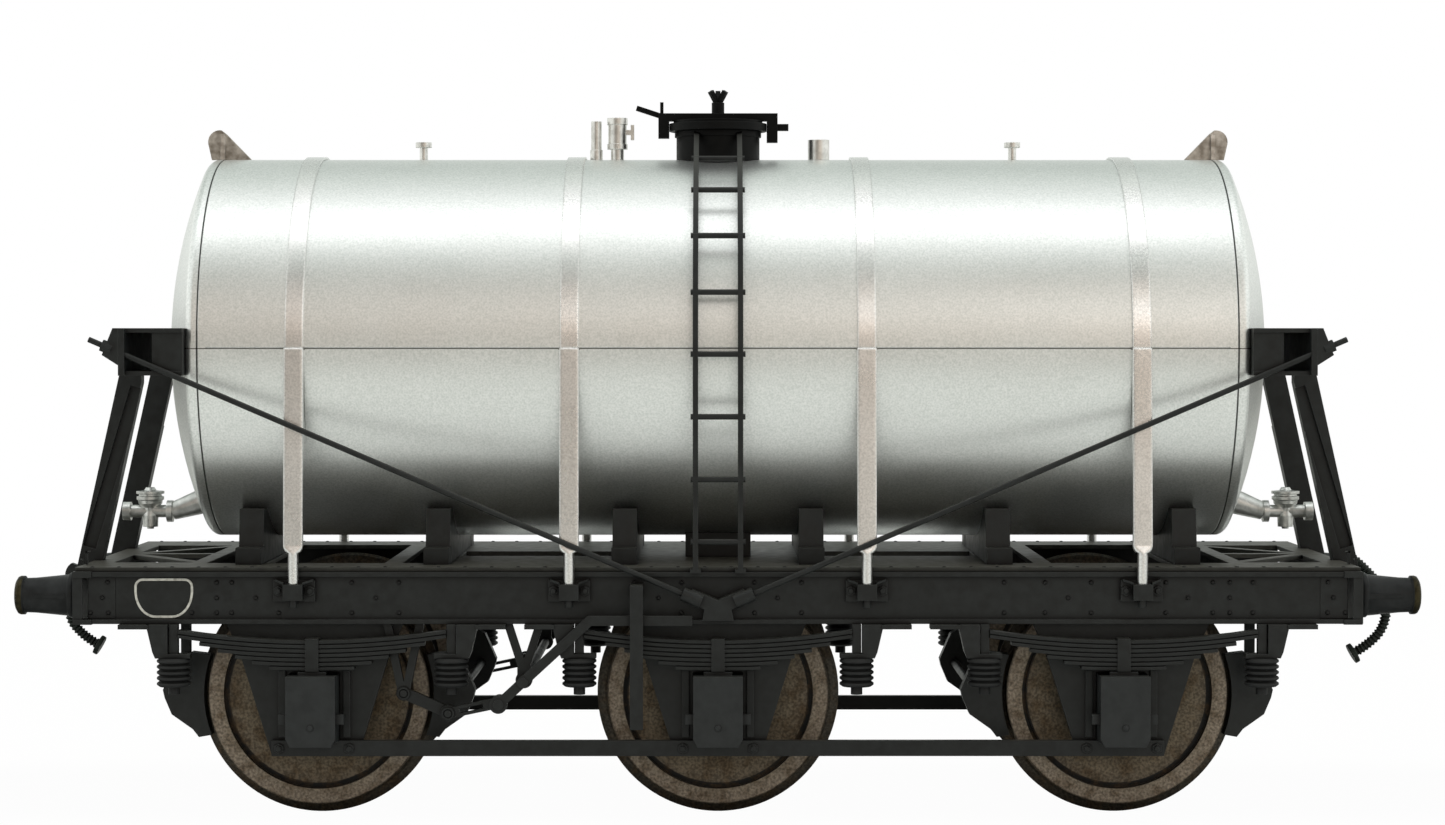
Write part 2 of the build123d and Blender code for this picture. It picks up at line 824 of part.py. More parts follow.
# end beams: a channel across each tank end, packed out to the dome
tie_run = tie_high[0] - tie_low[0]
tie_slope = (tie_high[1] - tie_low[1]) / tie_run
tie_angle = degrees(atan2(tie_high[1] - tie_low[1], tie_run))
with BuildPart() as beam_right:
    block((beam_web_x, beam_back), (-beam_half, beam_half), (beam_low, beam_top))
    flange_half = beam_half - beam_flange_in
    flange_y = (-flange_half, flange_half)
    packing_y = (-flange_half + packing_in, flange_half - packing_in)
    flange_x = (rim_x + packing_start, beam_web_x)
    block(flange_x, flange_y, (beam_low, beam_low + beam_plate))
    block(flange_x, flange_y, (beam_top - beam_plate, beam_top))
    block((flange_x[0], beam_web_x - packing_gap), packing_y, (beam_low, beam_top))
    add(end_solids[1], mode=Mode.SUBTRACT)
    for side in (-1, 1):
        with Locations(Location((tie_high[0], side * tie_y, tie_high[1]), (0, 90 - tie_angle, 0))):
            Cylinder(tie_r + turn_gap, 8 * beam_web_thick, mode=Mode.SUBTRACT)
for node_name, turn in (("end_beam_right", 0), ("end_beam_left", 180)):
    with BuildPart() as end_beam:
        add(beam_right.part, rotation=(0, 0, turn))
    end_beam.part.label = node_name
    export_step(end_beam.part, "parts/" + node_name + ".step")

# end struts: raking channels from the headstock's face up to the back of the end beam
strut_head = (beam_back + strut_stand, beam_low + beam_height / 2 + strut_head_rise)
strut_foot = (frame_half + strut_foot_out, solebar_top)
strut_lean = (strut_foot[0] - strut_head[0]) / (strut_head[1] - strut_foot[1])
strut_under = (strut_foot[0] + 2 * strut_drop * strut_lean, strut_foot[1] - 2 * strut_drop)
strut_low = solebar_top - strut_drop
with BuildPart() as end_struts:
    with BuildSketch(near(strut_y - strut_width / 2)):
        Polygon(*strip(strut_under, strut_head, strut_depth), align=None)
        with Locations((frame_half + seat_gap - 2 * strut_depth, deck_top - 2 * strut_depth)):
            Rectangle(4 * strut_depth, 4 * strut_depth, mode=Mode.SUBTRACT)
        with Locations((frame_half, strut_low - 2 * strut_depth)):
            Rectangle(8 * strut_depth, 4 * strut_depth, mode=Mode.SUBTRACT)
        with Locations((beam_back - 2 * strut_depth, strut_head[1])):
            Rectangle(4 * strut_depth, 4 * strut_depth, mode=Mode.SUBTRACT)
    extrude(amount=strut_width)
    with BuildSketch(near(strut_y + strut_width / 2 - strut_recess)):
        panel_low = (strut_foot[0], deck_top + strut_panel_end)
        panel_high = (strut_head[0], beam_low - strut_panel_end)
        Polygon(*strip(panel_low, panel_high, strut_depth - 2 * strut_rim), align=None)
    extrude(amount=2 * strut_recess, mode=Mode.SUBTRACT)
    mirror(about=Plane.XZ)
    mirror(about=Plane.YZ)
end_struts.part.label = "end_struts"
export_step(end_struts.part, "parts/end_struts.step")

# tie rods: from the brackets at mid-length up to the end beams, with a wedge and nut outside
with BuildPart() as tie_rods:
    tie_plane = Plane((tie_low[0], -tie_y, tie_low[1]), x_dir=(0, 1, 0), z_dir=(1, 0, tie_slope))
    tie_length = hypot(tie_run, tie_high[1] - tie_low[1])
    with BuildSketch(tie_plane):
        Circle(tie_r)
    extrude(amount=tie_length + tie_thread)
    with BuildSketch(tie_plane.offset(tie_length + tie_nut_start)):
        RegularPolygon(tie_nut_r, 6)
    extrude(amount=tie_nut_length)
    with BuildSketch(near(tie_y + beam_over - wedge_width)):
        Polygon(
            (beam_back, beam_low + tie_high_rise / 2),
            (beam_back + wedge_out, beam_low + tie_high_rise),
            (beam_back + wedge_cap, beam_top),
            (beam_back, beam_top),
            align=None,
        )
    extrude(amount=wedge_width)
    mirror(about=Plane.XZ)
    mirror(about=Plane.YZ)
tie_rods.part.label = "tie_rods"
export_step(tie_rods.part, "parts/tie_rods.step")

# tie rod brackets: a forked plate on each solebar with a socket for either rod
with BuildPart() as tie_rod_brackets:
    fork_x, fork_z = tie_low
    fork_side = (
        (fork_x * 0.44, solebar_low + sole_flange),
        (fork_x * 0.38, solebar_low + tie_low_rise / 2),
        (fork_x - socket_r * 0.6, fork_z - socket_r * 0.9),
        (fork_x - socket_r * 1.4, fork_z + socket_r * 0.6),
    )
    with BuildSketch(near(web_face)):
        Polygon(
            *fork_side,
            (0, fork_z - socket_r * 0.9),
            *[(-x, z) for x, z in reversed(fork_side)],
            align=None,
        )
    extrude(amount=tie_y - web_face + fork_over)
    for side in (-1, 1):
        start = Plane((side * fork_x, -tie_y, fork_z), x_dir=(0, 1, 0), z_dir=(-side, 0, -tie_slope))
        with BuildSketch(start):
            Circle(socket_r)
        extrude(amount=socket_length)
    mirror(about=Plane.XZ)
tie_rod_brackets.part.label = "tie_rod_brackets"
export_step(tie_rod_brackets.part, "parts/tie_rod_brackets.step")

# deck: a thin plate with slots between the saddles and a lattice at each end
lattice_x = max(outer_bearer, saddle_xs[5] + lattice_space) + lattice_edge
lattice_stop = frame_half - lattice_end
slot_stop = saddle_xs[4] + opening_edge + slot_width
openings = (
    (saddle_xs[3] + opening_edge, saddle_xs[4] - opening_edge, middle_half),
    (saddle_xs[4] + opening_edge, slot_stop, side_half),
    (slot_stop + slot_land, saddle_xs[5] - opening_edge, side_half),
    (saddle_xs[5] + opening_edge, lattice_x - 2 * lattice_edge, side_half),
)
lattice_inside = (
    (lattice_x, lattice_bar),
    (lattice_stop - lattice_bar, lattice_bar),
    (lattice_x, lattice_inner),
)
lattice_outside = (
    (lattice_stop, lattice_outer),
    (lattice_stop, lattice_half),
    (lattice_x, lattice_half),
    (lattice_x, lattice_half - lattice_tip),
)
with BuildPart() as deck:
    with BuildSketch(Plane.XY.offset(solebar_top)):
        Rectangle(2 * (frame_half - deck_end_gap), 2 * (flange_edge - deck_inset))
        for sx in (-1, 1):
            for x_from, x_to, half in openings:
                with Locations((sx * (x_from + x_to) / 2, 0)):
                    Rectangle(x_to - x_from, 2 * half, mode=Mode.SUBTRACT)
            for sy in (-1, 1):
                for corners in (lattice_inside, lattice_outside):
                    Polygon(*[(sx * x, sy * y) for x, y in corners], align=None, mode=Mode.SUBTRACT)
    extrude(amount=deck_thick)
deck.part.label = "deck"
export_step(deck.part, "parts/deck.step")

# solebars: channels with the flanges outwards
with BuildPart() as sole_one:
    block((-head_in, head_in), (-web_face, -web_back), (solebar_low, solebar_top))
    block((-head_in, head_in), (-flange_edge, -web_back), (solebar_low, solebar_low + sole_flange))
    block((-head_in, head_in), (-flange_edge, -web_back), (solebar_top - sole_flange, solebar_top))
    with Locations([(side * head_in, -web_face, (solebar_low + solebar_top) / 2) for side in (-1, 1)]):
        Box(2 * web_notch, 4 * web_thick, solebar_height - 2 * sole_flange, mode=Mode.SUBTRACT)
for node_name, turn in (("solebar_near", 0), ("solebar_far", 180)):
    with BuildPart() as solebar:
        add(sole_one.part, rotation=(0, 0, turn))
    solebar.part.label = node_name
    export_step(solebar.part, "parts/" + node_name + ".step")

# headstocks: the plates across the ends of the solebars
for node_name, side in (("headstock_right", 1), ("headstock_left", -1)):
    with BuildPart() as headstock:
        x_pair = sorted((side * head_in, side * frame_half))
        block(x_pair, (-flange_edge, flange_edge), (solebar_low, solebar_top))
    headstock.part.label = node_name
    export_step(headstock.part, "parts/" + node_name + ".step")

# cross bearers: plates between the solebars under the deck
inner_bearer = axle_pitch - shoe_r - bearer_inner_gap
with BuildPart() as cross_bearers:
    for x in (saddle_pitch / 2, inner_bearer, outer_bearer):
        for side in (-1, 1):
            z_pair = (solebar_top - bearer_depth, solebar_top)
            x_pair = (side * x - bearer_thick / 2, side * x + bearer_thick / 2)
            block(x_pair, (-web_back, web_back), z_pair)
cross_bearers.part.label = "cross_bearers"
export_step(cross_bearers.part, "parts/cross_bearers.step")

# buffers: a round base, a tapering ribbed stock and a small round end
buffer_end = frame_half + buffer_reach
with BuildPart() as buffers:
    plate_end = frame_half + buffer_plate_thick
    stock_end = buffer_end - buffer_head
    rib_span = 2 * (buffer_root_r + buffer_rib_over)
    with Locations((plate_end + buffer_rib_length / 2, -buffer_y, buffer_z)):
        Box(buffer_rib_length, buffer_rib, rib_span)
        Box(buffer_rib_length, rib_span, buffer_rib)
    buffer_plane = Plane((0, -buffer_y, buffer_z), x_dir=(1, 0, 0), z_dir=(0, -1, 0))
    with BuildSketch(buffer_plane):
        Polygon(
            (frame_half, 0),
            (buffer_end, 0),
            (buffer_end, buffer_head_r - buffer_chamfer),
            (buffer_end - buffer_chamfer, buffer_head_r),
            (stock_end, buffer_head_r),
            (stock_end, buffer_tip_r),
            (plate_end + 0.75 * (stock_end - plate_end), buffer_tip_r),
            (plate_end, buffer_root_r),
            (plate_end, buffer_plate_r),
            (frame_half, buffer_plate_r),
            align=None,
        )
    revolve(axis=Axis((0, -buffer_y, buffer_z), (1, 0, 0)))
    mirror(about=Plane.XZ)
    mirror(about=Plane.YZ)
buffers.part.label = "buffers"
export_step(buffers.part, "parts/buffers.step")


def hook_point(along, up):
    """Place on the hook: a share of its reach from the headstock, and a height from its middle line."""
    return frame_half + along * hook_reach, buffer_z + up


# drawhooks: a square plate and a flat hook at each end
with BuildPart() as drawhooks:
    with Locations((frame_half + hook_plate_thick / 2, 0, buffer_z)):
        Box(hook_plate_thick, hook_plate, hook_plate)
    with BuildSketch(near(-hook_thick / 2)):
        with BuildLine():
            Line(hook_point(0.05, -hook_half), hook_point(0.69, -hook_drop))
            ThreePointArc(hook_point(0.69, -hook_drop), hook_point(1, 0.4), hook_point(0.87, hook_rise))
            Polyline(hook_point(0.87, hook_rise), hook_point(0.71, 0.86 * hook_rise), hook_point(0.76, 0.9))
            ThreePointArc(hook_point(0.76, 0.9), hook_point(0.65, 0.3), hook_point(0.53, hook_half))
            Polyline(hook_point(0.53, hook_half), hook_point(0.05, hook_half), hook_point(0.05, -hook_half))
        make_face()
    extrude(amount=hook_thick)
    mirror(about=Plane.YZ)
drawhooks.part.label = "drawhooks"
export_step(drawhooks.part, "parts/drawhooks.step")

# brake hoses: a standpipe on the headstock and a moulded hose that bows out and back in
with BuildPart() as brake_hoses:
    clip_z = (buffer_z - hose_clip_height / 2, buffer_z + hose_clip_height / 2)
    block((frame_half, hose_x), (-hose_y - hose_clip, -hose_y + hose_clip), clip_z)
    hose_points = [(hose_x + out, buffer_z + up) for out, up in hose_route]
    with BuildLine(near(hose_y)) as hose_path:
        FilletPolyline(*hose_points, radius=hose_bend)
    hose_root = (hose_points[0][0], -hose_y, hose_points[0][1])
    with BuildSketch(Plane(hose_root, x_dir=(1, 0, 0), z_dir=(0, 0, 1))):
        Circle(hose_r)
    sweep(path=hose_path.wires()[0])
    hose_tip = hose_points[-1]
    with BuildSketch(Plane((hose_tip[0], -hose_y, hose_tip[1]), x_dir=(0, 1, 0), z_dir=(-1, 0, -1))):
        Circle(hose_head_r)
    extrude(amount=hose_head / 2, both=True)
    hose_one = brake_hoses.part
    add(hose_one, rotation=(0, 0, 180))
brake_hoses.part.label = "brake_hoses"
export_step(brake_hoses.part, "parts/brake_hoses.step")

# axleguards: plates behind the solebars, slotted for the axleboxes, with guide strips
guard_top = solebar_low + guard_rise
guard_knee = solebar_low - guard_knee_drop
guard_foot = box_half + guard_leg
slot_half = box_half + seat_gap
guide_off = box_half + guide_gap + guide_strip / 2
with BuildPart() as axleguards:
    for x in axle_xs:
        with BuildSketch(near(guard_back)):
            Polygon(
                (x - guard_half_top, guard_top),
                (x - guard_half_top, solebar_low),
                (x - guard_knee_half, guard_knee),
                (x - guard_foot, keeper_low),
                (x + guard_foot, keeper_low),
                (x + guard_knee_half, guard_knee),
                (x + guard_half_top, solebar_low),
                (x + guard_half_top, guard_top),
                align=None,
            )
            with Locations((x, (keeper_low + box_top) / 2)):
                Rectangle(2 * slot_half, box_top - keeper_low + 2 * seat_gap, mode=Mode.SUBTRACT)
        extrude(amount=guard_thick)
        with BuildSketch(near(web_back)):
            guide_z = keeper_high + guide_strip_height / 2 + 2 * guide_gap / 3
            with Locations((x - guide_off, guide_z), (x + guide_off, guide_z)):
                Rectangle(guide_strip, guide_strip_height)
        extrude(amount=guide_strip_thick)
    mirror(about=Plane.XZ)
axleguards.part.label = "axleguards"
export_step(axleguards.part, "parts/axleguards.step")

# keeper bars: one long bar along the feet of the axleguards on each side
keeper_half = axle_pitch + keeper_over
with BuildPart() as keeper_bars:
    block((-keeper_half, keeper_half), (-web_back - keeper_thick, -web_back), (keeper_low, keeper_high))
    mirror(about=Plane.XZ)
keeper_bars.part.label = "keeper_bars"
export_step(keeper_bars.part, "parts/keeper_bars.step")

# axleboxes: a block in the guard's slot, a front cover, side lugs and a spring seat
lug_half = box_half + lug_reach
with BuildPart() as axleboxes:
    for x in axle_xs:
        block((x - box_half, x + box_half), (-cover_back, -guard_back), (box_low, box_top))
        with BuildSketch(near(cover_back)):
            Polygon(
                (x - box_half, box_top),
                (x - box_half, box_low + cover_cut),
                (x - box_half + cover_cut, box_low - cover_drop),
                (x + box_half - cover_cut, box_low - cover_drop),
                (x + box_half, box_low + cover_cut),
                (x + box_half, box_top),
                align=None,
            )
        extrude(amount=cover_thick)
        lug_z = (axle_z - lug_low, axle_z - lug_low + lug_height)
        block((x - lug_half, x + lug_half), (-cover_back, -cover_back + lug_thick), lug_z)
        seat_y = (-spring_y - spring_width / 2, -spring_y + spring_width / 2)
        block((x - pad_half, x + pad_half), seat_y, (box_top, spring_low))
        with BuildSketch(Plane((x, -guard_back, axle_z), x_dir=(1, 0, 0), z_dir=(0, -1, 0))):
            Circle(journal_r + turn_gap)
        extrude(amount=cover_back - guard_back - 2 * journal_end_gap / 3, mode=Mode.SUBTRACT)
    mirror(about=Plane.XZ)
axleboxes.part.label = "axleboxes"
export_step(axleboxes.part, "parts/axleboxes.step")

# leaf springs: seven leaves with a narrower core between them, held by a buckle
spring_bend = leaf_halves[0] ** 2 / (2 * spring_rise)
spring_top = spring_low + len(leaf_halves) * leaf_pitch
bend_z = spring_top + spring_bend
leaf_strips = []
for k, half in enumerate(leaf_halves):
    leaf_strips.append((spring_bend + k * leaf_pitch, leaf_thick, half, spring_width))
for k, half in enumerate(leaf_halves[1:]):
    leaf_strips.append((spring_bend + k * leaf_pitch + leaf_thick / 2, leaf_pitch, half, leaf_core))
with BuildPart() as leaf_springs:
    for x in axle_xs:
        for radius, thick, half, width in leaf_strips:
            high = bend_z - sqrt(radius**2 - half**2)
            low = bend_z - sqrt((radius + thick) ** 2 - half**2)
            with BuildSketch(near(spring_y - width / 2)):
                with BuildLine():
                    ThreePointArc((x - half, high), (x, bend_z - radius), (x + half, high))
                    Line((x + half, high), (x + half, low))
                    ThreePointArc((x + half, low), (x, bend_z - radius - thick), (x - half, low))
                    Line((x - half, low), (x - half, high))
                make_face()
            extrude(amount=width)
        buckle_y = (-spring_y - spring_width / 2 - buckle_over, -spring_y + spring_width / 2)
        block((x - buckle_half, x + buckle_half), buckle_y, (spring_low, spring_top + buckle_cap))
    mirror(about=Plane.XZ)
leaf_springs.part.label = "leaf_springs"
export_step(leaf_springs.part, "parts/leaf_springs.step")

# spring hangers: a bracket under the solebar with a shelf, and the rod at the spring's end
with BuildPart() as spring_hangers:
    rod_half = hanger_rod / 2
    shelf_top = shelf_z + shelf_thick
    foot_low = solebar_low - hanger_foot_thick
    for x, s in hanger_spots:
        with BuildSketch(near(spring_y - spring_width / 2)):
            Polygon(
                (x + s * (rod_half + hanger_gusset), solebar_low),
                (x + s * hanger_foot, solebar_low),
                (x + s * hanger_foot, foot_low),
                (x + s * hanger_neck, foot_low),
                (x + s * hanger_waist, shelf_top + 2 * hanger_gusset),
                (x + s * hanger_heel, shelf_z),
                (x - s * hanger_toe, shelf_z),
                (x - s * hanger_toe, shelf_top),
                (x + s * (rod_half + hanger_gusset), shelf_top),
                align=None,
            )
        extrude(amount=spring_width)
        rod_z = (shelf_z + hanger_gusset, solebar_low)
        block((x - rod_half, x + rod_half), (-spring_y - rod_half, -spring_y + rod_half), rod_z)
    mirror(about=Plane.XZ)
spring_hangers.part.label = "spring_hangers"
export_step(spring_hangers.part, "parts/spring_hangers.step")

# rubber stacks: ribbed cushions under the hanger shelves, with the stud's end below
with BuildPart() as rubber_stacks:
    rib_pitch = stack_height / stack_ribs
    stack_low = shelf_z - stack_height
    for x, s in hanger_spots:
        with BuildSketch(near(spring_y)):
            outline = [(x, shelf_z)]
            for k in range(stack_ribs):
                rib_top = shelf_z - k * rib_pitch
                outline += [
                    (x + stack_r - stack_groove, rib_top),
                    (x + stack_r, rib_top - rib_pitch * 0.35),
                    (x + stack_r, rib_top - rib_pitch * 0.65),
                ]
            outline += [
                (x + stack_r - stack_groove, stack_low),
                (x + stud_r, stack_low),
                (x + stud_r, stack_low - stud_length),
                (x, stack_low - stud_length),
            ]
            Polygon(*outline, align=None)
        revolve(axis=Axis((x, -spring_y, 0), (0, 0, 1)))
    mirror(about=Plane.XZ)
rubber_stacks.part.label = "rubber_stacks"
export_step(rubber_stacks.part, "parts/rubber_stacks.step")

# vee hangers: two forked plates under each solebar, the outer one with its crank arm
vee_high = solebar_low + vee_bar / 3
with BuildPart() as vee_hangers:
    with BuildSketch(near(web_back)):
        for spot, root in ((shaft, vee_boss_r + vee_root / 3), (crank, 0)):
            for side, spread in ((-1, vee_left), (1, vee_right)):
                leg_top = (spot[0] + side * spread, vee_high)
                leg_foot = (spot[0] + side * vee_fork, spot[1] + root)
                Polygon(*strip(leg_top, leg_foot, vee_bar), align=None)
        Polygon(*strip((shaft[0], shaft[1] + vee_boss_r + vee_root), shaft, vee_root), align=None)
        with Locations(shaft):
            Circle(vee_boss_r)
        Polygon(*strip(crank, joint_a, crank_arm), align=None)
        with Locations(crank, joint_a):
            Circle(crank_boss_r)
        with Locations(((shaft[0] + crank[0]) / 2, solebar_low + vee_bar)):
            Rectangle(axle_pitch, 2 * vee_bar, mode=Mode.SUBTRACT)
    extrude(amount=vee_thick)
    mirror(about=Plane.XZ)
vee_hangers.part.label = "vee_hangers"
export_step(vee_hangers.part, "parts/vee_hangers.step")

# brake links: slotted bars between the crank arms and the levers
link_y = web_back + vee_thick
slot_ends = [tuple(a + share * (b - a) for a, b in zip(joint_a, joint_b)) for share in (0.22, 0.68)]
with BuildPart() as brake_links:
    with BuildSketch(near(link_y)):
        Polygon(*strip(joint_a, joint_b, link_width), align=None)
        with Locations(joint_a, joint_b):
            Circle(link_boss_r)
        Polygon(*strip(*slot_ends, link_slot), align=None, mode=Mode.SUBTRACT)
    extrude(amount=link_thick)
    mirror(about=Plane.XZ)
brake_links.part.label = "brake_links"
export_step(brake_links.part, "parts/brake_links.step")

# brake levers: cranked hand levers with their pivot bosses
lever_front = lever_y + lever_thick
with BuildPart() as brake_levers:
    with BuildSketch(near(lever_y)):
        Polygon(*strip(joint_b, lever_bend, lever_width), align=None)
        Polygon(*strip(lever_bend, lever_end, lever_width), align=None)
        with Locations(lever_bend):
            Circle(lever_width / 2)
        with Locations(joint_b):
            Circle(lever_boss_r)
    extrude(amount=lever_thick)
    along_y(joint_b[0], joint_b[1], pin_r, -lever_front - pin_over, -link_y - link_thick)
    along_y(shaft[0], shaft[1], pin_r, -lever_front - pin_over, -link_y)
    mirror(about=Plane.XZ)
brake_levers.part.label = "brake_levers"
export_step(brake_levers.part, "parts/brake_levers.step")

# lever guides: upright straps in front of the levers
with BuildPart() as lever_guides:
    guide_y = lever_front + lever_clear
    guide_pair = (guide_x - guide_width / 2, guide_x + guide_width / 2)
    guide_high = solebar_top - guide_top
    block(guide_pair, (-guide_y - guide_thick, -guide_y), (solebar_low - guide_drop, guide_high))
    block(guide_pair, (-guide_y, -web_face), (guide_high - guide_lug, guide_high))
    mirror(about=Plane.XZ)
lever_guides.part.label = "lever_guides"
export_step(lever_guides.part, "parts/lever_guides.step")

# brake shaft: the round shaft between the vee hangers
with BuildPart() as brake_shaft:
    along_y(shaft[0], shaft[1], shaft_r, -web_back, web_back)
brake_shaft.part.label = "brake_shaft"
export_step(brake_shaft.part, "parts/brake_shaft.step")

# brake shoes: one at each side of the outer wheels, hung from the deck
shoe_in = wheel_back + shoe_set
shoe_out = wheel_face - shoe_face_gap
shoe_high = radians(shoe_top_angle)
shoe_dip = radians(shoe_low_angle)
shoe_spots = [(x, s) for x in (-axle_pitch, axle_pitch) for s in (-1, 1)]
with BuildPart() as brake_shoes:
    for x, s in shoe_spots:
        high = (x + s * shoe_r * cos(shoe_high), axle_z + shoe_r * sin(shoe_high))
        low = (x + s * shoe_r * cos(shoe_dip), axle_z - shoe_r * sin(shoe_dip))
        with BuildSketch(near(shoe_in)):
            with BuildLine():
                ThreePointArc(high, (x + s * shoe_r, axle_z), low)
                Polyline(low, *[(x + s * (shoe_r + out), axle_z + up) for out, up in shoe_back], high)
            make_face()
        extrude(amount=shoe_out - shoe_in)
        strap_x = sorted((x + s * (shoe_r + strap_start), x + s * (shoe_r + strap_start + strap_width)))
        strap_y = (-wheel_face + strap_in, -wheel_face + strap_in + strap_thick)
        block(strap_x, strap_y, (axle_z + strap_foot, solebar_top))
    mirror(about=Plane.XZ)
brake_shoes.part.label = "brake_shoes"
export_step(brake_shoes.part, "parts/brake_shoes.step")

# brake beams: round bars between opposite shoes
with BuildPart() as brake_beams:
    for x, s in shoe_spots:
        along_y(x + s * (shoe_r + beam_off), axle_z, beam_r, -shoe_in, shoe_in)
brake_beams.part.label = "brake_beams"
export_step(brake_beams.part, "parts/brake_beams.step")

# wheels: a flanged tyre, a groove and a plain dished disc
with BuildPart() as wheel_one:
    with BuildSketch(Plane((0, 0, 0), x_dir=(0, -1, 0), z_dir=(-1, 0, 0))):
        rim_in = tread_r - rim_depth
        disc_edge = rim_in - groove_width
        face_y = wheel_face - disc_recess
        Polygon(
            (wheel_back, seat_r + seat_gap),
            (wheel_back, hub_r),
            (wheel_back + back_recess, hub_r),
            (wheel_back + back_recess, rim_in),
            (wheel_back, rim_in),
            (wheel_back, flange_r - flange_round),
            (wheel_back + flange_round, flange_r),
            (wheel_back + flange_tip, flange_r),
            (wheel_back + flange_width, tread_r + flange_round),
            (wheel_back + flange_width + flange_round, tread_r),
            (wheel_face - tread_chamfer, tread_r - tread_chamfer / 2),
            (wheel_face, tread_r - 1.5 * tread_chamfer),
            (wheel_face, rim_in),
            (wheel_face - groove_depth, rim_in),
            (wheel_face - groove_depth, disc_edge),
            (face_y, disc_edge),
            (face_y - dish, hub_r),
            (face_y, hub_r - hub_slope),
            (face_y, seat_r + seat_gap),
            align=None,
        )
    revolve(axis=Axis.Y)

with BuildPart() as axle_one:
    with BuildSketch(Plane((0, 0, 0), x_dir=(0, -1, 0), z_dir=(-1, 0, 0))):
        journal_end = cover_back - journal_end_gap
        Polygon(
            (-journal_end, 0),
            (-journal_end, journal_r),
            (-wheel_face, journal_r),
            (-wheel_face, seat_r),
            (-wheel_back, seat_r),
            (-wheel_back, axle_r),
            (wheel_back, axle_r),
            (wheel_back, seat_r),
            (wheel_face, seat_r),
            (wheel_face, journal_r),
            (journal_end, journal_r),
            (journal_end, 0),
            align=None,
        )
    revolve(axis=Axis.Y)

for place, x in (("left", -axle_pitch), ("middle", 0), ("right", axle_pitch)):
    for side, turn in (("near", 0), ("far", 180)):
        with BuildPart() as wheel:
            with Locations((x, 0, axle_z)):
                add(wheel_one.part.rotate(Axis.Z, turn))
        wheel.part.label = "wheel_" + place + "_" + side
        export_step(wheel.part, "parts/wheel_" + place + "_" + side + ".step")
    with BuildPart() as axle:
        with Locations((x, 0, axle_z)):
            add(axle_one.part)
    axle.part.label = "axle_" + place
    export_step(axle.part, "parts/axle_" + place + ".step")
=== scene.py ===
"""Looks of the six-wheel tank car model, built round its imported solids, in metres."""
import math

import bpy
import numpy as np
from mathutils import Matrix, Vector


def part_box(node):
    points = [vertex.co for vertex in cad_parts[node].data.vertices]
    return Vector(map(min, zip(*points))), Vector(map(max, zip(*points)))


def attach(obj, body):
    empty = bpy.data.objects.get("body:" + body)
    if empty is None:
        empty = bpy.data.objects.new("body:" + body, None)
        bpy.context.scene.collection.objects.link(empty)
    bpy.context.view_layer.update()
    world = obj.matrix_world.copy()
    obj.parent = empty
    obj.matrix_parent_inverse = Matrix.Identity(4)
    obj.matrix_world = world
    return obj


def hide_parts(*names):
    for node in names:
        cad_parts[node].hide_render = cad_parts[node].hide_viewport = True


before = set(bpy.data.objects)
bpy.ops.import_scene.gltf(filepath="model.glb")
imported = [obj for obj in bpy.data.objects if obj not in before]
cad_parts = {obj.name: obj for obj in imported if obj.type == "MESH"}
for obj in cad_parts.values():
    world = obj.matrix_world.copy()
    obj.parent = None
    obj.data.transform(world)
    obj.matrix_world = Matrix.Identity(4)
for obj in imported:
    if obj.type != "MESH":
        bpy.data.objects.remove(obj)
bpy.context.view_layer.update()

# Wheelsets: turned steel wheels pressed on plain axles. The tyre is worn bare, the disc inside the
# black groove is browned with brake dust, and the flange behind the tread stays dark.
MM = 0.001
AXLE_PITCH = 45.5
AXLE_HEIGHT = 13.85
TONE_RADIUS = 14.0


def linear(code):
    """Linear RGBA of an sRGB hex colour: c / 12.92 when dark, else ((c + 0.055) / 1.055) ** 2.4."""
    channels = np.array([int(code[k:k + 2], 16) for k in (1, 3, 5)]) / 255
    bright = ((channels + 0.055) / 1.055) ** 2.4
    return (*np.where(channels < 0.04045, channels / 12.92, bright).tolist(), 1.0)


def add_node(tree, kind, inputs=None, **settings):
    """Adds one shader node, applies its settings, and sets or links the inputs that are named."""
    node = tree.nodes.new("ShaderNode" + kind)
    for key, value in settings.items():
        setattr(node, key, value)
    for socket, value in (inputs or {}).items():
        if isinstance(value, bpy.types.NodeSocket):
            tree.links.new(value, node.inputs[socket])
        else:
            node.inputs[socket].default_value = value
    return node


def new_material(name):
    """Empty node material with its output and the Object coordinates that its patterns read."""
    material = bpy.data.materials.new(name)
    material.use_nodes = True
    tree = material.node_tree
    tree.nodes.clear()
    output = add_node(tree, "OutputMaterial")
    place = add_node(tree, "TexCoord").outputs["Object"]
    return material, tree, output, place


def set_ramp(node, stops):
    """Gives a colour ramp its stops, a list of position and hex colour."""
    ramp = node.color_ramp
    while len(ramp.elements) < len(stops):
        ramp.elements.new(0.5)
    for element, (position, code) in zip(ramp.elements, stops):
        element.position = position
        element.color = linear(code)


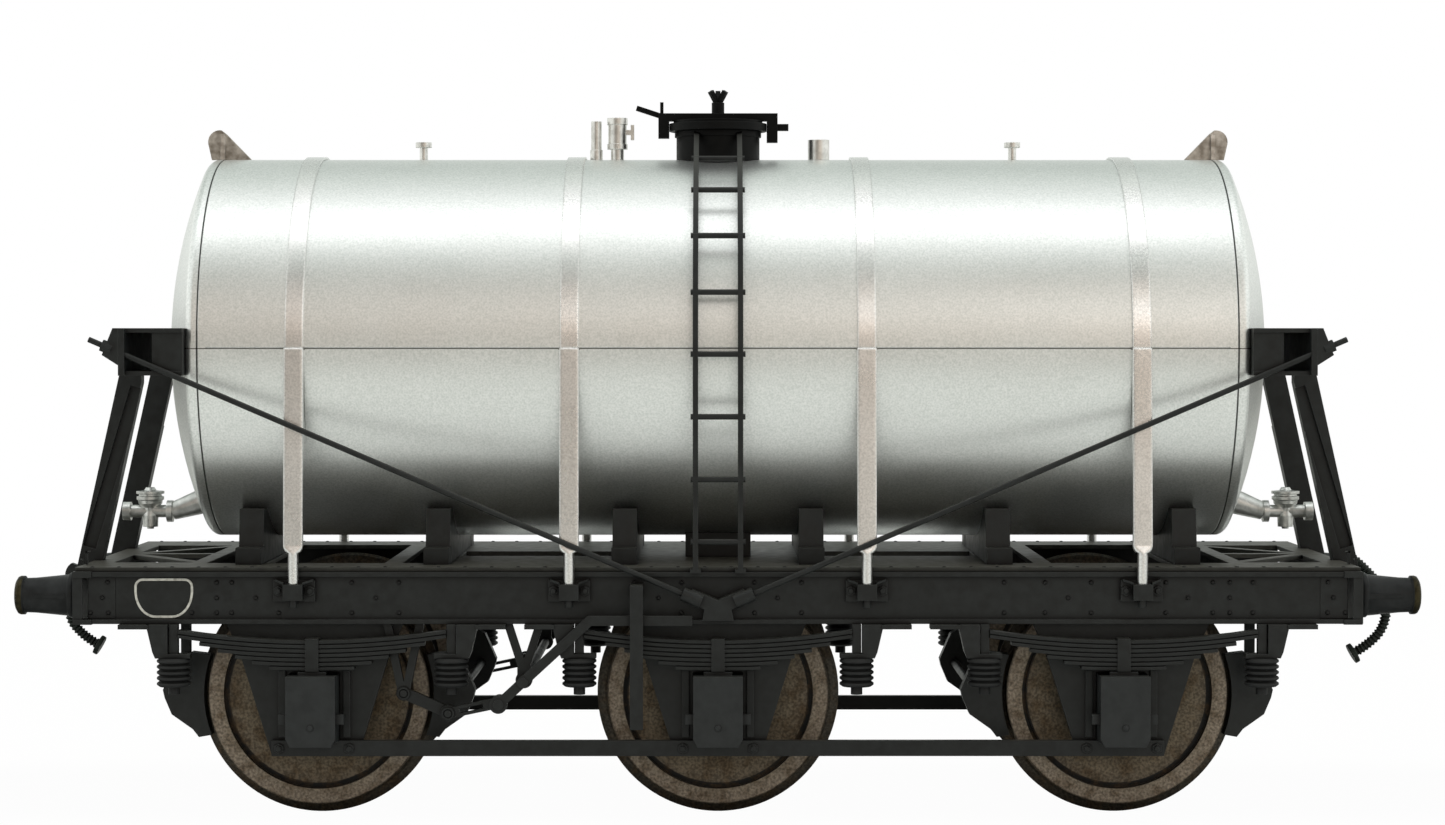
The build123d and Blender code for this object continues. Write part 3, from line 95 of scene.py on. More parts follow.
def weathered_wheel_steel():
    """Turned steel, browned by radius up to the tone radius: rusty disc, black groove and tyre face scuffed
    bare, mottled at 1.5 mm. The distance along the wagon is wrapped to the nearest axle."""
    material, tree, output, place = new_material("weathered_wheel_steel")
    half_pitch = AXLE_PITCH / 2 * MM
    axes = add_node(tree, "SeparateXYZ", {0: place})
    beside = add_node(tree, "Math", {0: axes.outputs["X"], 1: half_pitch, 2: -half_pitch}, operation="WRAP")
    above = add_node(tree, "Math", {0: axes.outputs["Z"], 1: AXLE_HEIGHT * MM}, operation="SUBTRACT")
    arm = add_node(tree, "CombineXYZ", {0: beside.outputs[0], 2: above.outputs[0]})
    radius = add_node(tree, "VectorMath", {0: arm.outputs[0]}, operation="LENGTH")
    reach = add_node(tree, "Math", {0: radius.outputs["Value"], 1: TONE_RADIUS * MM}, operation="DIVIDE")
    by_radius = add_node(tree, "ValToRGB", {0: reach.outputs[0]})
    set_ramp(by_radius, [
        (0.20, "#463f34"), (0.62, "#655b4b"), (0.726, "#584f42"), (0.731, "#070706"),
        (0.772, "#070706"), (0.776, "#796f61"), (0.89, "#82776a"), (0.906, "#4c463c"), (0.97, "#3a362f")])
    blotch = add_node(tree, "TexNoise", {"Vector": place, "Scale": 1 / (1.5 * MM), "Detail": 5.0})
    stain = add_node(tree, "MapRange", {0: blotch.outputs["Fac"], 1: 0.46, 2: 0.66, 3: 0.0, 4: 0.6})
    rust = add_node(
        tree, "MixRGB", {0: stain.outputs[0], 1: by_radius.outputs[0], 2: linear("#4a3923")},
        blend_type="MIX")
    grain = add_node(tree, "TexNoise", {"Vector": place, "Scale": 1 / (0.3 * MM), "Detail": 2.0})
    fleck = add_node(tree, "MapRange", {0: grain.outputs["Fac"], 1: 0.36, 2: 0.66, 3: 0.58, 4: 1.4})
    colour = add_node(
        tree, "MixRGB", {0: 1.0, 1: rust.outputs[0], 2: fleck.outputs[0]}, blend_type="MULTIPLY")
    rough = add_node(tree, "MapRange", {0: blotch.outputs["Fac"], 1: 0.3, 2: 0.7, 3: 0.42, 4: 0.62})
    bump = add_node(tree, "Bump", {
        "Height": grain.outputs["Fac"], "Strength": 0.25, "Distance": 0.05 * MM})
    shader = add_node(tree, "BsdfPrincipled", {
        "Base Color": colour.outputs[0], "Metallic": 0.55, "Roughness": rough.outputs[0],
        "Normal": bump.outputs[0]})
    tree.links.new(shader.outputs[0], output.inputs[0])
    return material


def blackened_steel():
    """Axle steel, oil-black and satin, with faint turning rings 0.8 mm apart: a wave repeats at 0.314 of
    the 2.5 mm that sets its scale."""
    material, tree, output, place = new_material("blackened_steel")
    rings = add_node(
        tree, "TexWave", {"Vector": place, "Scale": 1 / (2.5 * MM), "Distortion": 1.0},
        bands_direction="Y")
    colour = add_node(tree, "ValToRGB", {0: rings.outputs["Fac"]})
    set_ramp(colour, [(0.0, "#141413"), (1.0, "#24231f")])
    shader = add_node(tree, "BsdfPrincipled", {
        "Base Color": colour.outputs[0], "Metallic": 0.5, "Roughness": 0.45})
    tree.links.new(shader.outputs[0], output.inputs[0])
    return material


def dress(material, *names):
    """Puts a material on the solids of that name."""
    for name in names:
        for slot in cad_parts[name].material_slots:
            slot.material = material


wheel_steel = weathered_wheel_steel()
axle_steel = blackened_steel()
for where in ("left", "middle", "right"):
    dress(wheel_steel, "wheel_" + where + "_near", "wheel_" + where + "_far")
    dress(axle_steel, "axle_" + where)

# Running gear: axleguards, keeper bars, boxes and springs, moulded in styrene and sprayed satin black.
# Corners are paled a little grey, partly rubbed and partly as a painted highlight; flat tops are paled
# partly by dust and partly as painted top light, and creases carry painted shade. The covers of the boxes
# are a shade paler, and the rubber stacks under the springs' ends are duller.


def satin_black(name, dark, pale, roughness, dust_and_top_light, rub_and_highlight=0.55, shine=0.3):
    """Sprayed black on moulded plastic: 1.2 mm cloud between two blacks, edges paled partly by wear and
    partly as painted highlight, tops paled partly by dust and partly as painted top light, and painted
    shade in creases."""
    material, tree, output, place = new_material(name)
    cloud = add_node(tree, "TexNoise", {"Vector": place, "Scale": 1 / (1.2 * MM), "Detail": 4.0})
    paint = add_node(tree, "ValToRGB", {0: cloud.outputs["Fac"]})
    set_ramp(paint, [(0.32, dark), (0.68, pale)])
    rounded = add_node(tree, "Bevel", {"Radius": 0.14 * MM}, samples=4)
    facing = add_node(tree, "NewGeometry")
    sharp = add_node(
        tree, "VectorMath", {0: rounded.outputs[0], 1: facing.outputs["Normal"]}, operation="DOT_PRODUCT")
    # Edges are paled towards grey, partly as rubbed wear and partly as a painted highlight on the edges.
    rubbed_and_highlit = add_node(tree, "MapRange", {0: sharp.outputs["Value"], 1: 0.99, 2: 0.78, 3: 0.0, 4: rub_and_highlight})
    worn_and_highlit = add_node(
        tree, "MixRGB", {0: rubbed_and_highlit.outputs[0], 1: paint.outputs[0], 2: linear("#3d4040")},
        blend_type="MIX")
    # Up-facing tops are paled partly by dust and partly as painted light falling from above.
    up = add_node(tree, "SeparateXYZ", {0: facing.outputs["Normal"]})
    settled_dust_and_top_light = add_node(tree, "MapRange", {0: up.outputs["Z"], 1: 0.6, 2: 1.0, 3: 0.0, 4: dust_and_top_light})
    dusted_and_top_lit = add_node(
        tree, "MixRGB", {0: settled_dust_and_top_light.outputs[0], 1: worn_and_highlit.outputs[0], 2: linear("#4b4a44")},
        blend_type="MIX")
    # Painted shade: the colour darkens where occlusion within 0.9 mm finds creases, corners and the roots
    # of flanges.
    crease = add_node(tree, "AmbientOcclusion", {"Distance": 0.9 * MM}, samples=8)
    painted_shade = add_node(tree, "MapRange", {0: crease.outputs["AO"], 1: 0.5, 2: 0.92, 3: 0.04, 4: 1.0})
    colour = add_node(
        tree, "MixRGB", {0: 1.0, 1: dusted_and_top_lit.outputs[0], 2: painted_shade.outputs[0]}, blend_type="MULTIPLY")
    grain = add_node(tree, "TexNoise", {"Vector": place, "Scale": 1 / (0.22 * MM), "Detail": 2.0})
    bump = add_node(tree, "Bump", {
        "Height": grain.outputs["Fac"], "Strength": 0.12, "Distance": 0.03 * MM,
        "Normal": rounded.outputs[0]})
    rough = add_node(tree, "MapRange", {
        0: cloud.outputs["Fac"], 1: 0.3, 2: 0.7, 3: roughness - 0.05, 4: roughness + 0.08})
    shader = add_node(tree, "BsdfPrincipled", {
        "Base Color": colour.outputs[0], "Roughness": rough.outputs[0], "Normal": bump.outputs[0],
        "Specular IOR Level": shine})
    tree.links.new(shader.outputs[0], output.inputs[0])
    return material


frame_black = satin_black("satin_black_frame", "#151717", "#202323", 0.44, 0.4)
box_black = satin_black("satin_black_boxes", "#1f2223", "#292c2d", 0.5, 0.3)
rubber_black = satin_black("moulded_rubber", "#151617", "#1f2122", 0.58, 0.2)
dress(frame_black, "axleguards", "keeper_bars", "leaf_springs", "spring_hangers")
dress(box_black, "axleboxes")
dress(rubber_black, "rubber_stacks")

# Bolts of the keeper bars and covers: moulded hexagon heads with a round end, two to each axleguard foot,
# and one round stud on each cover. Profiles are pairs of radius and height.
BOLT = [(0.62, 0.0), (0.62, 0.22), (0.56, 0.27), (0.34, 0.27), (0.34, 0.5), (0.28, 0.55)]
STUD = [(0.36, -0.02), (0.36, 0.08), (0.30, 0.16), (0.14, 0.22)]
BOLT_OFF = 3.95
STUD_RISE = 2.15


def corners(node):
    """Lowest and highest corner of a solid, in millimetres."""
    return np.array(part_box(node)) / MM


def make_piece(name, verts, faces, material):
    """One mesh object at the origin, from points in millimetres and faces as lists of point numbers."""
    mesh = bpy.data.meshes.new(name)
    mesh.from_pydata((np.asarray(verts) * MM).tolist(), [], faces)
    mesh.materials.append(material)
    piece = bpy.data.objects.new(name, mesh)
    bpy.context.scene.collection.objects.link(piece)
    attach(piece, "wagon")
    return piece


def tubes(name, rings, material, loop=False):
    """Joined mesh of n closed tubes: rings is an array of n tubes, rings along, sides round and 3.
    Neighbouring rings are joined by quads. A flat face closes each end, or a loop joins its last ring to
    its first."""
    count, length, sides, _ = rings.shape
    index = np.arange(count * length * sides).reshape(count, length, sides)
    if loop:
        index = np.concatenate([index, index[:, :1]], axis=1)
    onward = np.roll(index, -1, axis=2)
    quads = np.stack([index[:, :-1], onward[:, :-1], onward[:, 1:], index[:, 1:]], axis=-1)
    faces = quads.reshape(-1, 4).tolist()
    if not loop:
        faces += index[:, 0, ::-1].tolist() + index[:, -1].tolist()
    return make_piece(name, rings.reshape(-1, 3), faces, material)


def turned(places, axis, profile, sides, phase=0.0):
    """Rings of a turned shape at every place: a profile of radius and height carried round an axis.
    Point = place + height * axis + radius * (cos t * side + sin t * up), with side x up = axis."""
    axis = np.asarray(axis, float)
    side = np.array([0.0, 0.0, 1.0]) if abs(axis[2]) < 0.5 else np.array([1.0, 0.0, 0.0])
    up = np.cross(axis, side)
    turn = phase + 2 * np.pi * np.arange(sides) / sides
    around = np.cos(turn)[:, None] * side + np.sin(turn)[:, None] * up
    profile = np.asarray(profile, float)
    shape = profile[:, 1, None, None] * axis + profile[:, 0, None, None] * around
    return np.asarray(places, float)[:, None, None, :] + shape


def side_heads(name, places, profile, sides, material):
    """Turned heads that face out from places on the near side, and the same mirrored to the far side."""
    near = np.asarray(places, float)
    far = near * (1, -1, 1)
    return tubes(name, np.concatenate([
        turned(near, (0, -1, 0), profile, sides), turned(far, (0, 1, 0), profile, sides)]), material)


axle_xs = (-AXLE_PITCH, 0.0, AXLE_PITCH)
keeper_low, keeper_high = corners("keeper_bars")
keeper_middle = (keeper_low[2] + keeper_high[2]) / 2
bolt_places = [(x + s * BOLT_OFF, keeper_low[1], keeper_middle) for x in axle_xs for s in (-1, 1)]
side_heads("keeper_bolts", bolt_places, BOLT, 6, frame_black)
box_low = corners("axleboxes")[0]
stud_places = [(x, box_low[1], box_low[2] + STUD_RISE) for x in axle_xs]
side_heads("cover_studs", stud_places, STUD, 12, box_black)

# Spring feet: a flat toe runs out from each spring hanger under the solebar. It is moulded with the
# hanger and sprayed with the frame.
HANGER_OFF = 15.55
FOOT_FROM, FOOT_TO = 2.8, 6.15
FOOT_IN, FOOT_OUT = 22.0, 24.2
FOOT_THICK = 0.5


def four_ways(lows, highs):
    """Rings of flat plates between opposite corners, given on the far right and repeated at all four ends
    of the frame: each is the four corners of its low-X face and then of its high-X face."""
    lows, highs = np.asarray(lows, float), np.asarray(highs, float)
    signs = np.array([(1, 1, 1), (1, -1, 1), (-1, 1, 1), (-1, -1, 1)])
    ends = np.stack([lows * signs[:, None], highs * signs[:, None]])
    low, high = ends.min(axis=0).reshape(-1, 3), ends.max(axis=0).reshape(-1, 3)
    x = np.stack([low[:, 0], high[:, 0]], axis=1)
    y = np.stack([low[:, 1], high[:, 1], high[:, 1], low[:, 1]], axis=1)
    z = np.stack([low[:, 2], low[:, 2], high[:, 2], high[:, 2]], axis=1)
    shape = (len(low), 2, 4)
    return np.stack([
        np.broadcast_to(x[:, :, None], shape), np.broadcast_to(y[:, None], shape),
        np.broadcast_to(z[:, None], shape)], axis=-1)


solebar_low, solebar_high = corners("solebar_near")
foot_xs = (HANGER_OFF + FOOT_FROM, AXLE_PITCH + HANGER_OFF + FOOT_FROM, AXLE_PITCH - HANGER_OFF - FOOT_TO)
foot_lows = np.array([(x, FOOT_IN, solebar_low[2] - FOOT_THICK) for x in foot_xs])
foot_highs = foot_lows + (FOOT_TO - FOOT_FROM, FOOT_OUT - FOOT_IN, FOOT_THICK)
tubes("spring_feet", four_ways(foot_lows, foot_highs), frame_black)

# Underframe: two channel solebars, plate headstocks, cross bearers and a pierced deck, moulded in styrene
# and sprayed as one. The deck lies flat and is the palest of all, partly from dust and partly from painted
# light on its top.
# The deck's paler black is partly dust and partly painted light and reflection on its flat top.
deck_black = satin_black("dusty_top_lit_black_deck", "#30312e", "#42433e", 0.5, 1.0)
dress(frame_black, "solebar_near", "solebar_far", "headstock_left", "headstock_right", "cross_bearers")
dress(deck_black, "deck")

# Rivets of the underframe: small round heads moulded in three rows on each solebar's web, and flatter
# ones, closer together, along the edges of the deck. They are rubbed smooth, and their black is darker than
# the web's as painted shade round the heads.
RIVET = [(0.26, -0.02), (0.25, 0.1), (0.19, 0.19), (0.09, 0.23)]
DECK_RIVET = [(0.27, -0.02), (0.24, 0.04), (0.17, 0.08), (0.08, 0.1)]
DECK_RIVET_PITCH, DECK_ROW_END, DECK_ROW_OUT = 3.0, 70.5, 21.8
WEB_INSET = 0.7
EDGE_ROW = [
    -56.4, -54.7, -49.4, -41.2, -35.9, -9.4, -4.1, 4.1, 9.4, 32.2, 36.8, 42.0, 50.4, 55.7, 57.6, 60.2]
MIDDLE_ROW = [-56.4, -52.0, -38.5, -6.7, 6.7, 39.4, 52.9, 57.6]
RIVET_ROWS = ((1.2, [-59.2] + EDGE_ROW), (2.88, MIDDLE_ROW), (4.62, EDGE_ROW))
# Painted shade: the rivets' black is darker than the black round them.
rivet_shade_black = satin_black("shade_darkened_black_rivets", "#050606", "#0a0b0b", 0.34, 0.0, 0.1)
web_face = solebar_low[1] + WEB_INSET
web_places = [(x, web_face, solebar_low[2] + rise) for rise, row in RIVET_ROWS for x in row]
side_heads("web_rivets", web_places, RIVET, 10, rivet_shade_black)
deck_top = corners("deck")[1][2]
deck_xs = np.arange(-DECK_ROW_END, DECK_ROW_END + 0.1, DECK_RIVET_PITCH)
deck_places = [(x, y, deck_top) for y in (-DECK_ROW_OUT, DECK_ROW_OUT) for x in deck_xs]
tubes("deck_rivets", turned(deck_places, (0, 0, 1), DECK_RIVET, 8), rivet_shade_black)

# Frame corners: a cover plate on the end of each web, with its rivets, and the lips of the headstock that
# lap the solebar's flanges. They are raised a hair from the moulding.
SUNK = 0.05
COVER_FROM, COVER_TO = 67.8, 70.85
COVER_MARGIN, COVER_RAISE = 0.52, 0.07
COVER_RIVETS = [(68.65, 26.95), (69.25, 25.2), (70.6, 23.5), (68.6, 23.5)]
LIP_FROM, LIP_TO = 70.35, 72.4
LIP_IN, LIP_OUT = 22.5, 23.14
TOP_LIP, FOOT_LIP, LIP_LAP = 0.62, 0.5, 0.08
low_edge, high_edge = solebar_low[2], solebar_high[2]
tubes("web_end_plates", four_ways(
    [(COVER_FROM, -web_face - SUNK, low_edge + COVER_MARGIN)],
    [(COVER_TO, -web_face + COVER_RAISE, high_edge - COVER_MARGIN)]), frame_black)
tubes("headstock_lips", four_ways(
    [(LIP_FROM, LIP_IN, high_edge - TOP_LIP), (LIP_FROM, LIP_IN, low_edge - LIP_LAP)],
    [(LIP_TO, LIP_OUT, high_edge + LIP_LAP), (LIP_TO, LIP_OUT, low_edge + FOOT_LIP)]), frame_black)
cover_places = [(s * x, web_face - COVER_RAISE, z) for s in (1, -1) for x, z in COVER_RIVETS]
side_heads("end_plate_rivets", cover_places, RIVET, 10, rivet_shade_black)

# Lamp irons: two flat prongs on the near side of each headstock, moulded with it, the back one with a
# bent tip. Each is given by opposite corners, with heights from the top of the solebar.
BACK_PRONG = [(71.86, 17.1, -0.1), (72.04, 17.9, 2.0)]
BENT_TIP = [(71.6, 17.1, 1.85), (72.04, 17.9, 2.0)]
FRONT_PRONG = [(72.45, 17.2, -1.4), (72.66, 17.8, 1.1)]
iron_ends = np.array([BACK_PRONG, BENT_TIP, FRONT_PRONG]) + (0.0, 0.0, high_edge)
irons = four_ways(iron_ends[:, 0], iron_ends[:, 1])
tubes("lamp_irons", irons[irons[:, 0, 0, 1] < 0], frame_black)

# Number plate: a blank plate painted on the left end of the near web as a white outline, flat at the top
# and round below.
PLATE_X, PLATE_Z = -62.35, 25.15
PLATE_HALF = np.array([3.3, 2.22])
PLATE_LINE, PAINT_RAISE = 0.26, 0.05
LOWER_ROUND, UPPER_ROUND = (2.4, 3.0), (0.95, 0.95)


def plate_outline(inset):
    """Outline of the plate in X and Z: four elliptical quarter rounds, from lower left round to the right.
    Point = corner of the straight edges + radius * (cos t, sin t), each drawn in by the inset."""
    radius = np.array([LOWER_ROUND, LOWER_ROUND, UPPER_ROUND, UPPER_ROUND]) - inset
    sign = np.array([(-1, -1), (1, -1), (1, 1), (-1, 1)])
    centre = sign * (PLATE_HALF - inset - radius)
    turn = np.radians(np.linspace(0, 90, 14)) + np.radians([180, 270, 0, 90])[:, None]
    arc = np.stack([np.cos(turn), np.sin(turn)], axis=-1) * radius[:, None]
    return (centre[:, None] + arc).reshape(-1, 2) + (PLATE_X, PLATE_Z)


def white_lining_paint():
    """Thin white paint over black: slightly grey, with faint worn spots 0.5 mm across."""
    material, tree, output, place = new_material("white_lining_paint")
    spot = add_node(tree, "TexNoise", {"Vector": place, "Scale": 1 / (0.5 * MM), "Detail": 3.0})
    colour = add_node(tree, "ValToRGB", {0: spot.outputs["Fac"]})
    set_ramp(colour, [(0.3, "#a9a9a2"), (0.55, "#d3d3cc")])
    shader = add_node(tree, "BsdfPrincipled", {"Base Color": colour.outputs[0], "Roughness": 0.6})
    tree.links.new(shader.outputs[0], output.inputs[0])
    return material


outer, inner = plate_outline(0.0), plate_outline(PLATE_LINE)
front_y, back_y = np.full(len(outer), web_face - PAINT_RAISE), np.full(len(outer), web_face + SUNK)
plate_ring = np.stack([
    np.stack([line[:, 0], y, line[:, 1]], axis=1)
    for line, y in ((outer, front_y), (outer, back_y), (inner, back_y), (inner, front_y))], axis=1)
tubes("blank_number_plate", plate_ring[None], white_lining_paint(), loop=True)

# Brake gear: flat levers, links, hangers and shoes, moulded in styrene and sprayed with the frame. Turned
# pins with a ring stand up from the crank and from the link's end, on both sides.
PIN = [
    (0.74, -SUNK), (0.74, 0.26), (0.68, 0.32), (0.52, 0.32), (0.5, 0.14), (0.42, 0.14), (0.4, 0.36),
    (0.1, 0.38)]
CRANK_PIN = (-35.4, -22.2, -7.88)
LINK_PIN = (-30.35, -22.9, -10.08)
dress(frame_black, "brake_beams", "brake_levers", "brake_links", "brake_shaft", "brake_shoes",
      "lever_guides", "vee_hangers")
pin_places = np.array([CRANK_PIN, LINK_PIN]) + (0.0, 0.0, low_edge)
side_heads("brake_pins", pin_places, PIN, 20, frame_black)

# Buffers: cast stocks sprayed black, with turned brass ends that have toned to a dark olive. A tapered
# rib is cast along each side of a stock, from its base.
BUFFER = [
    (2.55, 0.0), (2.55, 0.75), (2.47, 0.85), (2.36, 0.87), (1.99, 4.6), (1.95, 5.7), (2.03, 5.86),
    (2.19, 5.92), (2.2, 6.35), (2.1, 6.6), (1.75, 6.82), (1.1, 6.95), (0.4, 7.0), (0.05, 7.0)]
BUFFER_Y, BUFFER_Z = 20.0, 25.31
BRASS_FROM = 5.98
RIB_BASE = [(0.8, 1.6, -0.3), (0.8, 2.46, -0.3), (0.8, 2.46, 0.3), (0.8, 1.6, 0.3)]
RIB_END = [(4.6, 1.6, -0.2), (4.6, 2.08, -0.2), (4.6, 2.08, 0.2), (4.6, 1.6, 0.2)]
head_low, head_high = corners("headstock_right")
frame_end = head_high[0]


def toned_brass():
    """Sprayed stock and toned brass end, parted by the distance along the wagon from its middle."""
    material, tree, output, place = new_material("toned_brass_and_black")
    axes = add_node(tree, "SeparateXYZ", {0: place})
    out = add_node(tree, "Math", {0: axes.outputs["X"]}, operation="ABSOLUTE")
    end = add_node(
        tree, "Math", {0: out.outputs[0], 1: (frame_end + BRASS_FROM) * MM}, operation="GREATER_THAN")
    cloud = add_node(tree, "TexNoise", {"Vector": place, "Scale": 1 / (0.9 * MM), "Detail": 4.0})
    paint = add_node(tree, "ValToRGB", {0: cloud.outputs["Fac"]})
    set_ramp(paint, [(0.3, "#151718"), (0.7, "#202223")])
    brass = add_node(tree, "ValToRGB", {0: cloud.outputs["Fac"]})
    set_ramp(brass, [(0.3, "#1b1910"), (0.7, "#3d3826")])
    colour = add_node(
        tree, "MixRGB", {0: end.outputs[0], 1: paint.outputs[0], 2: brass.outputs[0]}, blend_type="MIX")
    metal = add_node(tree, "MapRange", {0: end.outputs[0], 3: 0.0, 4: 0.7})
    rounded = add_node(tree, "Bevel", {"Radius": 0.15 * MM}, samples=4)
    shader = add_node(tree, "BsdfPrincipled", {
        "Base Color": colour.outputs[0], "Metallic": metal.outputs[0], "Roughness": 0.46,
        "Specular IOR Level": 0.2, "Normal": rounded.outputs[0]})
    tree.links.new(shader.outputs[0], output.inputs[0])
    return material


def mirrored(rings, signs):
    """Rings and their mirror image, whose sides run the other way so that its faces still point out."""
    return np.concatenate([rings, (rings * signs)[:, :, ::-1]])


roots = np.array([(frame_end, -BUFFER_Y, BUFFER_Z), (frame_end, BUFFER_Y, BUFFER_Z)])
buffer_brass = toned_brass()
buffers = tubes("turned_buffers", np.concatenate([
    turned(roots, (1, 0, 0), BUFFER, 48),
    turned(roots * (-1, 1, 1), (-1, 0, 0), BUFFER, 48)]), buffer_brass)
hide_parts("buffers")
buffers.data.shade_smooth()
rib_pair = mirrored(np.array([[RIB_BASE, RIB_END]]), (1, -1, 1))
right_ribs = (rib_pair + roots[:, None, None, None]).reshape(-1, 2, 4, 3)
tubes("buffer_ribs", mirrored(right_ribs, (-1, 1, 1)), buffer_brass)
dress(frame_black, "drawhooks")

# Brake hoses: short ribbed mouldings in a dark green-black, one at each end, from a standpipe down to a
# flat coupling head. A small square block clips each standpipe to its headstock.
RIGHT_ROUTE = [
    (73.4, 23.1), (73.4, 28.9), (75.0, 28.6), (79.1, 24.3), (78.85, 20.4), (76.9, 18.2), (75.3, 17.3)]
LEFT_ROUTE = [
    (73.4, 22.6), (73.4, 25.6), (74.4, 25.5), (77.9, 23.4), (78.9, 20.6), (76.9, 18.2), (75.3, 17.3)]
HOSE_SIDE = -5.0
STANDPIPE, PIPE_RADIUS = 5.2, 0.5
HOSE_RADIUS, RIB_RISE, RIB_PITCH = 0.46, 0.17, 0.45
HOSE_HEAD = [(0.0, 0.62), (0.0, 1.17), (0.07, 1.22), (0.48, 1.22), (0.55, 1.15), (0.55, 0.1)]
CLIP = [(0.95, 0.0), (0.95, 0.75), (0.85, 0.85)]


def hose_line(route, count):
    """Even points on a smooth route. Between the middles of two runs, a and c, the corner b is rounded by
    the parabola (1 - t)^2 a + 2 t (1 - t) b + t^2 c, and the ends run out to the first and last point."""
    route = np.asarray(route, float)
    middles = (route[:-1] + route[1:]) / 2
    starts = np.concatenate([route[:1], middles[1:-1]])
    stops = np.concatenate([middles[1:-1], route[-1:]])
    t = np.linspace(0, 1, 40)[:, None, None]
    curve = (1 - t) ** 2 * starts + 2 * t * (1 - t) * route[1:-1] + t ** 2 * stops
    curve = curve.transpose(1, 0, 2).reshape(-1, 2)
    run = np.concatenate([[0.0], np.cumsum(np.linalg.norm(np.diff(curve, axis=0), axis=1))])
    even = np.linspace(0, run[-1], count)
    return even, np.stack([np.interp(even, run, curve[:, k]) for k in (0, 1)], axis=1)


def ribbed_hose(route, side, sides):
    """Rings of a hose in an upright plane: the pipe's radius along the standpipe, then the hose's plus a
    rib of (1 + sin of the distance over its pitch) / 2. The head's steps follow straight on."""
    along, line = hose_line(route, 320)
    rib = RIB_RISE * (0.5 + 0.5 * np.sin(2 * np.pi * along / RIB_PITCH))
    radius = np.where(along < STANDPIPE, PIPE_RADIUS, HOSE_RADIUS + rib)
    heading = np.gradient(line, axis=0)
    heading /= np.linalg.norm(heading, axis=1)[:, None]
    head = np.asarray(HOSE_HEAD)
    line = np.concatenate([line, line[-1] + head[:, :1] * heading[-1]])
    radius = np.concatenate([radius, head[:, 1]])
    heading = np.concatenate([heading, np.repeat(heading[-1:], len(head), axis=0)])
    turn = 2 * np.pi * np.arange(sides) / sides
    lift = radius[:, None] * np.sin(turn)
    return np.stack([
        line[:, :1] - lift * heading[:, 1:], side + radius[:, None] * np.cos(turn),
        line[:, 1:] + lift * heading[:, :1]], axis=2)


hose_green = satin_black("moulded_hose", "#10150f", "#1c2721", 0.5, 0.1)
right_hose = ribbed_hose(RIGHT_ROUTE, HOSE_SIDE, 20)
left_hose = ribbed_hose(LEFT_ROUTE, HOSE_SIDE, 20) * (-1, -1, 1)
hoses = tubes("ribbed_hoses", np.stack([right_hose, left_hose]), hose_green)
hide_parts("brake_hoses")
clip_back = np.array([(frame_end, HOSE_SIDE, (head_low[2] + head_high[2]) / 2)])
tubes("hose_clips", np.concatenate([
    turned(clip_back, (1, 0, 0), CLIP, 4, np.pi / 4),
    turned(clip_back * (-1, -1, 1), (-1, 0, 0), CLIP, 4, np.pi / 4)]), frame_black)

# Tank supports: saddles, the centre anchor, end beams, raking struts and tie rods. They are mouldings and
# lengths of wire, glued in place and sprayed with the frame.
dress(frame_black, "tank_saddles", "centre_anchor", "end_beam_left", "end_beam_right", "end_struts",
      "tie_rods", "tie_rod_brackets", "hanger_brackets")

# Hanger brackets: each takes the rod of a tank band. Two hexagon heads hold its plate to the solebar, and
# a sloping web runs to each side of its boss from the plate's upper corner.
BAND_XS = (-47.6, -16.7, 16.7, 47.6)
BRACKET_FACE, BRACKET_RISE = -22.9, 3.72
BRACKET_BOLT_OFF = 1.75
WING_ROOT = [(1.05, -22.85, 1.0), (1.05, -24.15, 1.0), (1.05, -24.15, 0.75), (1.05, -22.85, 0.75)]
WING_TIP = [(2.15, -22.85, 1.35), (2.15, -23.25, 1.35), (2.15, -23.25, 1.1), (2.15, -22.85, 1.1)]
bracket_z = low_edge + BRACKET_RISE
bracket_places = [(x + s * BRACKET_BOLT_OFF, BRACKET_FACE, bracket_z) for x in BAND_XS for s in (-1, 1)]
side_heads("bracket_bolts", bracket_places, BOLT, 6, frame_black)
wing_pair = mirrored(np.array([[WING_ROOT, WING_TIP]]), (-1, 1, 1))
bosses = np.array([(x, 0.0, bracket_z) for x in BAND_XS])
near_wings = (wing_pair + bosses[:, None, None, None]).reshape(-1, 2, 4, 3)
tubes("bracket_wings", mirrored(near_wings, (1, -1, 1)), frame_black)

# Tank: a rolled barrel with dished ends, sprayed with aluminium paint. The flake gives a soft metal
# sheen with a fine sparkle, drawn a little coarser than the real flake so that it shows.
BAR_EDGE = 0.95
barrel_low, barrel_high = corners("tank_barrel")
tank_middle = (barrel_low[2] + barrel_high[2]) / 2


def aluminium_paint(name, dark, pale, roughness, edge):
    """Sprayed aluminium: metal between two silvers at a 0.22 mm flake, with edges rounded by the paint.
    Returns the parts of the material that the tank's seams are added to."""
    material, tree, output, place = new_material(name)
    flake = add_node(tree, "TexNoise", {"Vector": place, "Scale": 1 / (0.22 * MM), "Detail": 2.0})
    silver = add_node(tree, "ValToRGB", {0: flake.outputs["Fac"]})
    set_ramp(silver, [(0.32, dark), (0.68, pale)])
    cloud = add_node(tree, "TexNoise", {"Vector": place, "Scale": 1 / (9.0 * MM), "Detail": 2.0})
    rough = add_node(tree, "MapRange", {
        0: cloud.outputs["Fac"], 1: 0.3, 2: 0.7, 3: roughness - 0.03, 4: roughness + 0.03})
    rounded = add_node(tree, "Bevel", {"Radius": edge * MM}, samples=6)
    bump = add_node(tree, "Bump", {
        "Height": flake.outputs["Fac"], "Strength": 0.15, "Distance": 0.012 * MM,
        "Normal": rounded.outputs[0]})
    shader = add_node(tree, "BsdfPrincipled", {
        "Base Color": silver.outputs[0], "Metallic": 1.0, "Roughness": rough.outputs[0],
        "Normal": bump.outputs[0]})
    tree.links.new(shader.outputs[0], output.inputs[0])
    return material, tree, place, silver, shader


